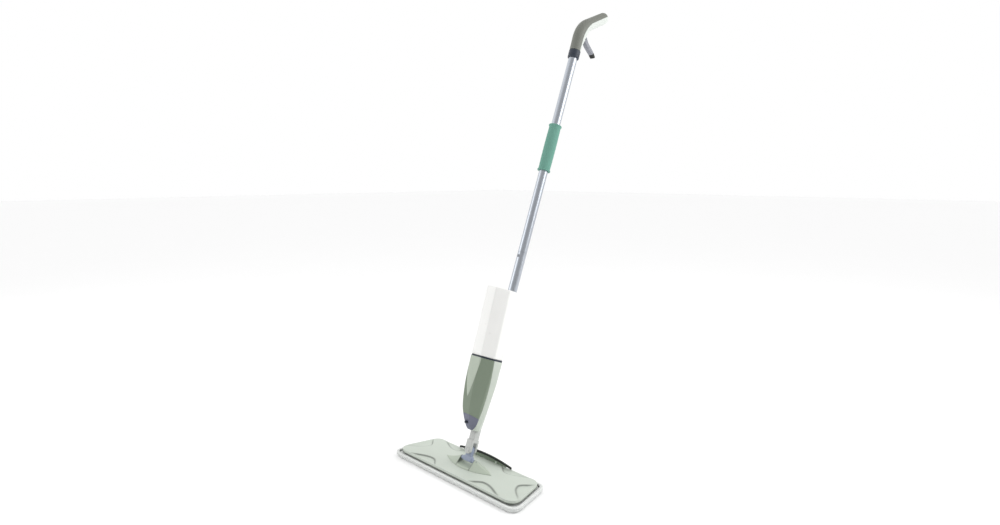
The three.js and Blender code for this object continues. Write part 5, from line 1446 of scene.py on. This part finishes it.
def puffed(pad, low, high):
    """Swells a pad as cloth under pressure, holding it between two heights."""
    modify(pad, "REMESH", mode="VOXEL", voxel_size=4 * MM)
    start = [vertex.co.copy() for vertex in pad.data.vertices]
    select_only(pad)
    cloth = pad.modifiers.new("Cloth", "CLOTH")
    cloth.settings.use_pressure = True
    cloth.settings.uniform_pressure_force = CLOTH_PRESSURE
    cloth.settings.effector_weights.gravity = 0
    cloth.point_cache.frame_start = 1
    cloth.point_cache.frame_end = SIMULATION_STEPS
    for step in range(1, SIMULATION_STEPS + 1):
        bpy.context.scene.frame_set(step)
    bpy.ops.object.modifier_apply(modifier=cloth.name)
    bpy.context.scene.frame_set(1)
    for vertex, home in zip(pad.data.vertices, start):
        move = vertex.co - home
        if move.length > SWELL_LIMIT:
            move *= SWELL_LIMIT / move.length
        vertex.co = home + move
        vertex.co.z = min(high, max(low, vertex.co.z))
    return pad


def edge_path(outline, spacing):
    """Places along a closed outline at even steps, each with its outward direction."""
    loop = [Vector((x, y, 0)) for x, y in outline]
    sides = list(zip(loop, loop[1:] + loop[:1]))
    total = sum((end - start).length for start, end in sides)
    count = int(total / spacing)
    places, walked, index = [], 0, 0
    for step in range(count):
        target = total * step / count
        while walked + (sides[index][1] - sides[index][0]).length < target:
            walked += (sides[index][1] - sides[index][0]).length
            index += 1
        start, end = sides[index]
        way = (end - start).normalized()
        places.append((start + way * (target - walked), Vector((way.y, -way.x, 0))))
    return places


def strewn(pattern, places):
    """Copies of a small shape at places given as matrices, joined into one object."""
    copies = []
    for matrix in places:
        twin = copy_of(pattern)
        twin.data.transform(matrix)
        copies.append(twin)
    bpy.data.objects.remove(pattern)
    return merged(copies)


def capsule(radius, length, segments=6, rings=5):
    """A small rounded noodle along Z."""
    select_only(None)
    bpy.ops.mesh.primitive_uv_sphere_add(segments=segments, ring_count=rings, radius=radius)
    noodle = bpy.context.object
    stretch = length / 2 - radius

    def drawn_out(p):
        return Vector((p.x, p.y, p.z + math.copysign(stretch, p.z) * (abs(p.z) > 1e-6)))

    return reshape(noodle, drawn_out)


def wobble(index, strength):
    """A small repeatable change for the copy with this number."""
    return strength * math.sin(index * 12.9898 + math.sin(index * 4.1414) * 43.0)


def build_pad():
    """The mop pad: a swollen body, chenille tufts below, a looped fringe and a stitched tape."""
    pad = settings("pad")
    body = plate(pad_outline(BODY_INSET), 3.2 * MM, TAPE_LOW - SEAM)
    puffed(body, 2.0 * MM, TAPE_LOW - 0.5 * SEAM)
    modify(body, "SUBSURF", levels=1, render_levels=1)
    settle(body, "pad_body", "mop_pad", "pad_white", "pad_pile", "pad_backing", leaning=False)

    outline = pad_outline(FRINGE_INSET)
    fringe_height = TAPE_LOW - PAD_LOW + 0.6 * MM
    places = []
    for index, (place, outward) in enumerate(edge_path(outline, pad.fringe)):
        angle = math.atan2(outward.y, outward.x)
        tilt = Matrix.Rotation(FRINGE_TILT + wobble(index, 0.12), 4, "Y")
        spin = Matrix.Rotation(angle + wobble(index + 7, 0.25), 4, "Z")
        lift = Vector((0, 0, PAD_LOW + fringe_height / 2 + wobble(index + 3, 0.25 * MM) + 0.35 * MM))
        places.append(Matrix.Translation(place + lift) @ spin @ tilt)
    fringe = strewn(capsule(FRINGE_RADIUS, fringe_height, 8, 7), places)
    settle(fringe, "pad_fringe", "mop_pad", "pad_white", leaning=False, angle=80)

    places, index = [], 0
    inner = pad_outline(TUFT_INSET)
    depth = max(y for _, y in inner)
    rows = int(2 * depth / (pad.tuft * ROW_PACKING))
    for row in range(rows + 1):
        y = -depth * 0.995 + 2 * depth * 0.995 * row / rows
        half = outline_half_width(inner, y)
        count = int(2 * half / pad.tuft)
        for column in range(count + 1):
            x = -half + 2 * half * column / max(count, 1)
            index += 1
            lean = Matrix.Rotation(TUFT_TILT + wobble(index, 0.2), 4, "X")
            spin = Matrix.Rotation(wobble(index + 11, 1.1), 4, "Z")
            places.append(Matrix.Translation((x, y, PAD_LOW + TUFT_HEIGHT)) @ spin @ lean)
    tufts = strewn(capsule(TUFT_RADIUS, TUFT_LENGTH), places)
    settle(tufts, "pad_tufts", "mop_pad", "pad_white", leaning=False, angle=80)
    return build_tape()


def build_tape():
    """The tape sewn round the pad's upper edge, with its slanted stitches."""
    pad = settings("pad")
    outer = plate(pad_outline(), TAPE_LOW, PAD_TOP)
    combine(outer, plate(pad_outline(pad.binding), TAPE_LOW - MM, PAD_TOP + MM))
    soften(outer, 1.3 * MM, 4, 50)
    places = []
    middle = pad_outline(0.55 * pad.binding)
    for index, (place, outward) in enumerate(edge_path(middle, pad.stitch)):
        angle = math.atan2(outward.y, outward.x)
        slant = Matrix.Rotation(angle + math.radians(STITCH_SLANT if index % 2 else -STITCH_SLANT), 4, "Z")
        lie = Matrix.Rotation(math.radians(90), 4, "Y")
        places.append(Matrix.Translation(place + Vector((0, 0, PAD_TOP + 0.05 * MM))) @ slant @ lie)
    stitches = strewn(capsule(STITCH_RADIUS, STITCH_LENGTH), places)
    settle(stitches, "pad_stitches", "mop_pad", "pad_white", leaning=False, angle=80)
    return settle(outer, "pad_sewn_tape", "mop_pad", "pad_white", "pad_binding", leaning=False)


# ---- Finishes of every slot ----------------------------------------------------------------


def build_finishes():
    """Makes a material for every slot of the record and gives it to the frame's nodes."""
    plastics = {
        "sage_pale": dict(roughness=0.46, depth=0.1),
        "sage_light": dict(roughness=0.44, depth=0.1),
        "sage_dark": dict(roughness=0.46, depth=0.1),
        "edge_grey": dict(roughness=0.5, depth=0.12),
        "slate": dict(roughness=0.4),
        "slate_blue": dict(roughness=0.34),
        "neck_grey": dict(roughness=0.38),
        "charcoal": dict(roughness=0.45),
        "grip_dark": dict(roughness=0.55, grain=900.0, depth=0.25),
        "grip_light": dict(roughness=0.4),
        "trigger_grey": dict(roughness=0.42),
        "white_plastic": dict(roughness=0.32, depth=0.05, coat=0.15, glow=0.25),
        "inner_grey": dict(roughness=0.5),
        "clear_hose": dict(roughness=0.2, coat=0.3, glow=0.4),
        "teal_foam": dict(roughness=0.85, grain=700.0, depth=0.5),
        "black_rubber": dict(roughness=0.6, grain=1100.0, depth=0.15),
    }
    for slot, values in plastics.items():
        FINISHES[slot] = moulded(slot, finish_colour(slot), **values)
    fibres = {
        "pad_white": dict(cell=520.0, depth=0.55, root=0.82),
        "hook_grey": dict(cell=900.0, depth=0.8, root=0.5),
    }
    for slot, values in fibres.items():
        FINISHES[slot] = fibre(slot, finish_colour(slot), **values)
    FINISHES["aluminium"] = drawn_metal("aluminium", finish_colour("aluminium"), 0.3)
    FINISHES["steel"] = drawn_metal("steel", finish_colour("steel"), 0.34)
    for part in frame["record"]["subparts"]:
        mesh = NODES[part["node"]].data
        mesh.materials.clear()
        mesh.materials.append(FINISHES[part["material_slot"]])


# ---- Stage ---------------------------------------------------------------------------------

CAMERA_PLACE = (1.066, -0.958, 0.688)
CAMERA_AZIMUTH = 45.13
CAMERA_DIP = 7.71
CAMERA_LENS = 23.4
FLOOR_SIZE = 40.0
PAPER_WHITE = 0.96

# Softboxes: name, place, the size of the square, power in watts.
SOFTBOXES = [
    ("left softbox", (-1.9, -1.9, 1.5), 1.6, 12),
    ("right softbox", (1.9, 1.3, 1.5), 1.6, 22),
]
CEILING_GLOW = 0.55
DOME_BACK = 1.0
DOME_FRONT = 0.42


def light_dome():
    """A studio dome: white behind the object, dimmer on the camera's side."""
    world = bpy.data.worlds.new("studio")
    world.use_nodes = True
    tree = world.node_tree
    backdrop = tree.nodes["Background"]
    backdrop.inputs["Color"].default_value = (1, 1, 1, 1)
    direction = add_node(tree, "ShaderNodeTexCoord").outputs["Generated"]
    toward = add_node(tree, "ShaderNodeVectorMath", {0: direction}, operation="DOT_PRODUCT")
    side = Vector((CAMERA_PLACE[0], CAMERA_PLACE[1], 0)).normalized()
    toward.inputs[1].default_value = side
    level = add_node(tree, "ShaderNodeMapRange", {"Value": toward.outputs["Value"]},
                     interpolation_type="SMOOTHSTEP")
    levels = {"From Min": -0.1, "From Max": 0.75, "To Min": DOME_BACK, "To Max": DOME_FRONT}
    for key, value in levels.items():
        level.inputs[key].default_value = value
    tree.links.new(level.outputs["Result"], backdrop.inputs["Strength"])
    return world


def build_stage():
    """The pale floor, the soft lights and the camera."""
    scene = bpy.context.scene
    select_only(None)
    bpy.ops.mesh.primitive_plane_add(size=FLOOR_SIZE, location=(0, 0, -0.2 * MM))
    floor = bpy.context.object
    floor.name = "floor"
    material, tree, shader = new_material("studio floor")
    speckle = add_node(tree, "ShaderNodeTexNoise", {"Vector": object_place(tree)}, scale=3.0, detail=2.0)
    tone = add_node(
        tree, "ShaderNodeMix", {"Factor": speckle.outputs["Fac"]}, data_type="RGBA",
    )
    tone.inputs[6].default_value = (PAPER_WHITE, PAPER_WHITE, PAPER_WHITE, 1)
    tone.inputs[7].default_value = (PAPER_WHITE * 0.99, PAPER_WHITE * 0.99, PAPER_WHITE * 0.99, 1)
    tree.links.new(tone.outputs[2], shader.inputs["Base Color"])
    shader.inputs["Roughness"].default_value = 0.9
    floor.data.materials.append(material)

    scene.world = light_dome()

    centre = (Vector(CAD_BOX[0]) + Vector(CAD_BOX[1])) / 2
    for name, place, size, power in SOFTBOXES:
        bpy.ops.object.light_add(type="AREA", location=place)
        light = bpy.context.object
        light.name = name
        light.data.size = size
        light.data.energy = power
        light.rotation_mode = "QUATERNION"
        light.rotation_quaternion = (centre - Vector(place)).to_track_quat("-Z", "Y")

    bpy.ops.object.light_add(type="SUN", location=(0, 0, 3))
    ceiling = bpy.context.object
    ceiling.name = "ceiling glow"
    ceiling.data.angle = math.radians(150)
    ceiling.data.energy = CEILING_GLOW

    bpy.ops.object.camera_add(
        location=CAMERA_PLACE,
        rotation=(math.radians(90 - CAMERA_DIP), 0, math.radians(CAMERA_AZIMUTH)),
    )
    camera = bpy.context.object
    camera.data.lens = CAMERA_LENS
    camera.data.sensor_width = 36
    scene.camera = camera
    scene.view_settings.view_transform = "Standard"


# ---- Operators, panel and registration -----------------------------------------------------


class MOP_OT_finishes(bpy.types.Operator):
    """Make every finish and give it to the frame"""

    bl_idname = "mop.finishes"
    bl_label = "Finishes"
    bl_options = {"REGISTER", "UNDO"}

    def execute(self, context):
        build_finishes()
        return {"FINISHED"}


class MOP_OT_cover(bpy.types.Operator):
    """Make the head's pale cover with its arched recesses"""

    bl_idname = "mop.cover"
    bl_label = "Head Cover"
    bl_options = {"REGISTER", "UNDO"}

    def execute(self, context):
        build_cover()
        return {"FINISHED"}


class MOP_OT_base(bpy.types.Operator):
    """Make the dark plate under the head's cover"""

    bl_idname = "mop.base"
    bl_label = "Base Plate"
    bl_options = {"REGISTER", "UNDO"}

    def execute(self, context):
        build_base()
        return {"FINISHED"}


class MOP_OT_mount(bpy.types.Operator):
    """Make the leaf-shaped mount with its two ears"""

    bl_idname = "mop.mount"
    bl_label = "Pivot Mount"
    bl_options = {"REGISTER", "UNDO"}

    def execute(self, context):
        build_mount()
        return {"FINISHED"}


class MOP_OT_squeegee(bpy.types.Operator):
    """Make the flip-up squeegee's holder and lip"""

    bl_idname = "mop.squeegee"
    bl_label = "Squeegee"
    bl_options = {"REGISTER", "UNDO"}

    def execute(self, context):
        build_squeegee()
        return {"FINISHED"}


class MOP_OT_swivel(bpy.types.Operator):
    """Make the cradle, the neck and the swing pin"""

    bl_idname = "mop.swivel"
    bl_label = "Swivel"
    bl_options = {"REGISTER", "UNDO"}

    def execute(self, context):
        build_cradle()
        build_neck()
        build_swing_pin()
        return {"FINISHED"}


class MOP_OT_holder(bpy.types.Operator):
    """Make the holder's shells, tongue, nose cap, nozzle and ring"""

    bl_idname = "mop.holder"
    bl_label = "Bottle Holder"
    bl_options = {"REGISTER", "UNDO"}

    def execute(self, context):
        build_holder()
        build_nozzle()
        build_seat_ring()
        return {"FINISHED"}


class MOP_OT_bottle(bpy.types.Operator):
    """Make the bottle, its cap and the column behind it"""

    bl_idname = "mop.bottle"
    bl_label = "Bottle"
    bl_options = {"REGISTER", "UNDO"}

    def execute(self, context):
        build_bottle()
        build_column()
        return {"FINISHED"}


class MOP_OT_tubes(bpy.types.Operator):
    """Make the two tubes and the snap button"""

    bl_idname = "mop.tubes"
    bl_label = "Tubes"
    bl_options = {"REGISTER", "UNDO"}

    def execute(self, context):
        build_tubes()
        return {"FINISHED"}


class MOP_OT_foam(bpy.types.Operator):
    """Make the foam sleeve and the collar"""

    bl_idname = "mop.foam"
    bl_label = "Soft Grip"
    bl_options = {"REGISTER", "UNDO"}

    def execute(self, context):
        build_foam()
        build_collar()
        return {"FINISHED"}


class MOP_OT_grip(bpy.types.Operator):
    """Make the two shells of the bent grip"""

    bl_idname = "mop.grip"
    bl_label = "Bent Grip"
    bl_options = {"REGISTER", "UNDO"}

    def execute(self, context):
        build_grip()
        return {"FINISHED"}


class MOP_OT_trigger(bpy.types.Operator):
    """Make the trigger lever and its dark end"""

    bl_idname = "mop.trigger"
    bl_label = "Trigger"
    bl_options = {"REGISTER", "UNDO"}

    def execute(self, context):
        build_trigger()
        return {"FINISHED"}


class MOP_OT_pad(bpy.types.Operator):
    """Make the pad's body, tufts, fringe, tape and stitches"""

    bl_idname = "mop.pad"
    bl_label = "Mop Pad"
    bl_options = {"REGISTER", "UNDO"}

    def execute(self, context):
        build_pad()
        return {"FINISHED"}


class MOP_OT_stage(bpy.types.Operator):
    """Make the floor, the lights and the camera"""

    bl_idname = "mop.stage"
    bl_label = "Stage"
    bl_options = {"REGISTER", "UNDO"}

    def execute(self, context):
        build_stage()
        return {"FINISHED"}


OPERATORS = [
    MOP_OT_finishes, MOP_OT_cover, MOP_OT_base, MOP_OT_mount, MOP_OT_squeegee,
    MOP_OT_swivel, MOP_OT_holder, MOP_OT_bottle, MOP_OT_tubes, MOP_OT_foam,
    MOP_OT_grip, MOP_OT_trigger, MOP_OT_pad, MOP_OT_stage,
]


class MOP_PT_panel(bpy.types.Panel):
    bl_label = "Spray Mop"
    bl_idname = "MOP_PT_panel"
    bl_space_type = "VIEW_3D"
    bl_region_type = "UI"
    bl_category = "Spray Mop"

    def draw(self, context):
        for name in SETTINGS:
            box = self.layout.box()
            box.label(text=name.title())
            for key in SETTINGS[name].__annotations__:
                box.prop(settings(name), key)
        for operator in OPERATORS:
            self.layout.operator(operator.bl_idname)


SETTINGS = {"head": HeadSettings, "pad": PadSettings, "handle": HandleSettings, "finish": FinishSettings}
CLASSES = [*SETTINGS.values(), *OPERATORS, MOP_PT_panel]


def register():
    for cls in CLASSES:
        bpy.utils.register_class(cls)
    for name, cls in SETTINGS.items():
        setattr(bpy.types.Scene, f"mop_{name}", bpy.props.PointerProperty(type=cls))


def unregister():
    for name in SETTINGS:
        delattr(bpy.types.Scene, f"mop_{name}")
    for cls in reversed(CLASSES):
        bpy.utils.unregister_class(cls)


def main():
    register()
    for operator in OPERATORS:
        getattr(bpy.ops.mop, operator.bl_idname.split(".")[1])()


if __name__ == "__main__":
    main()
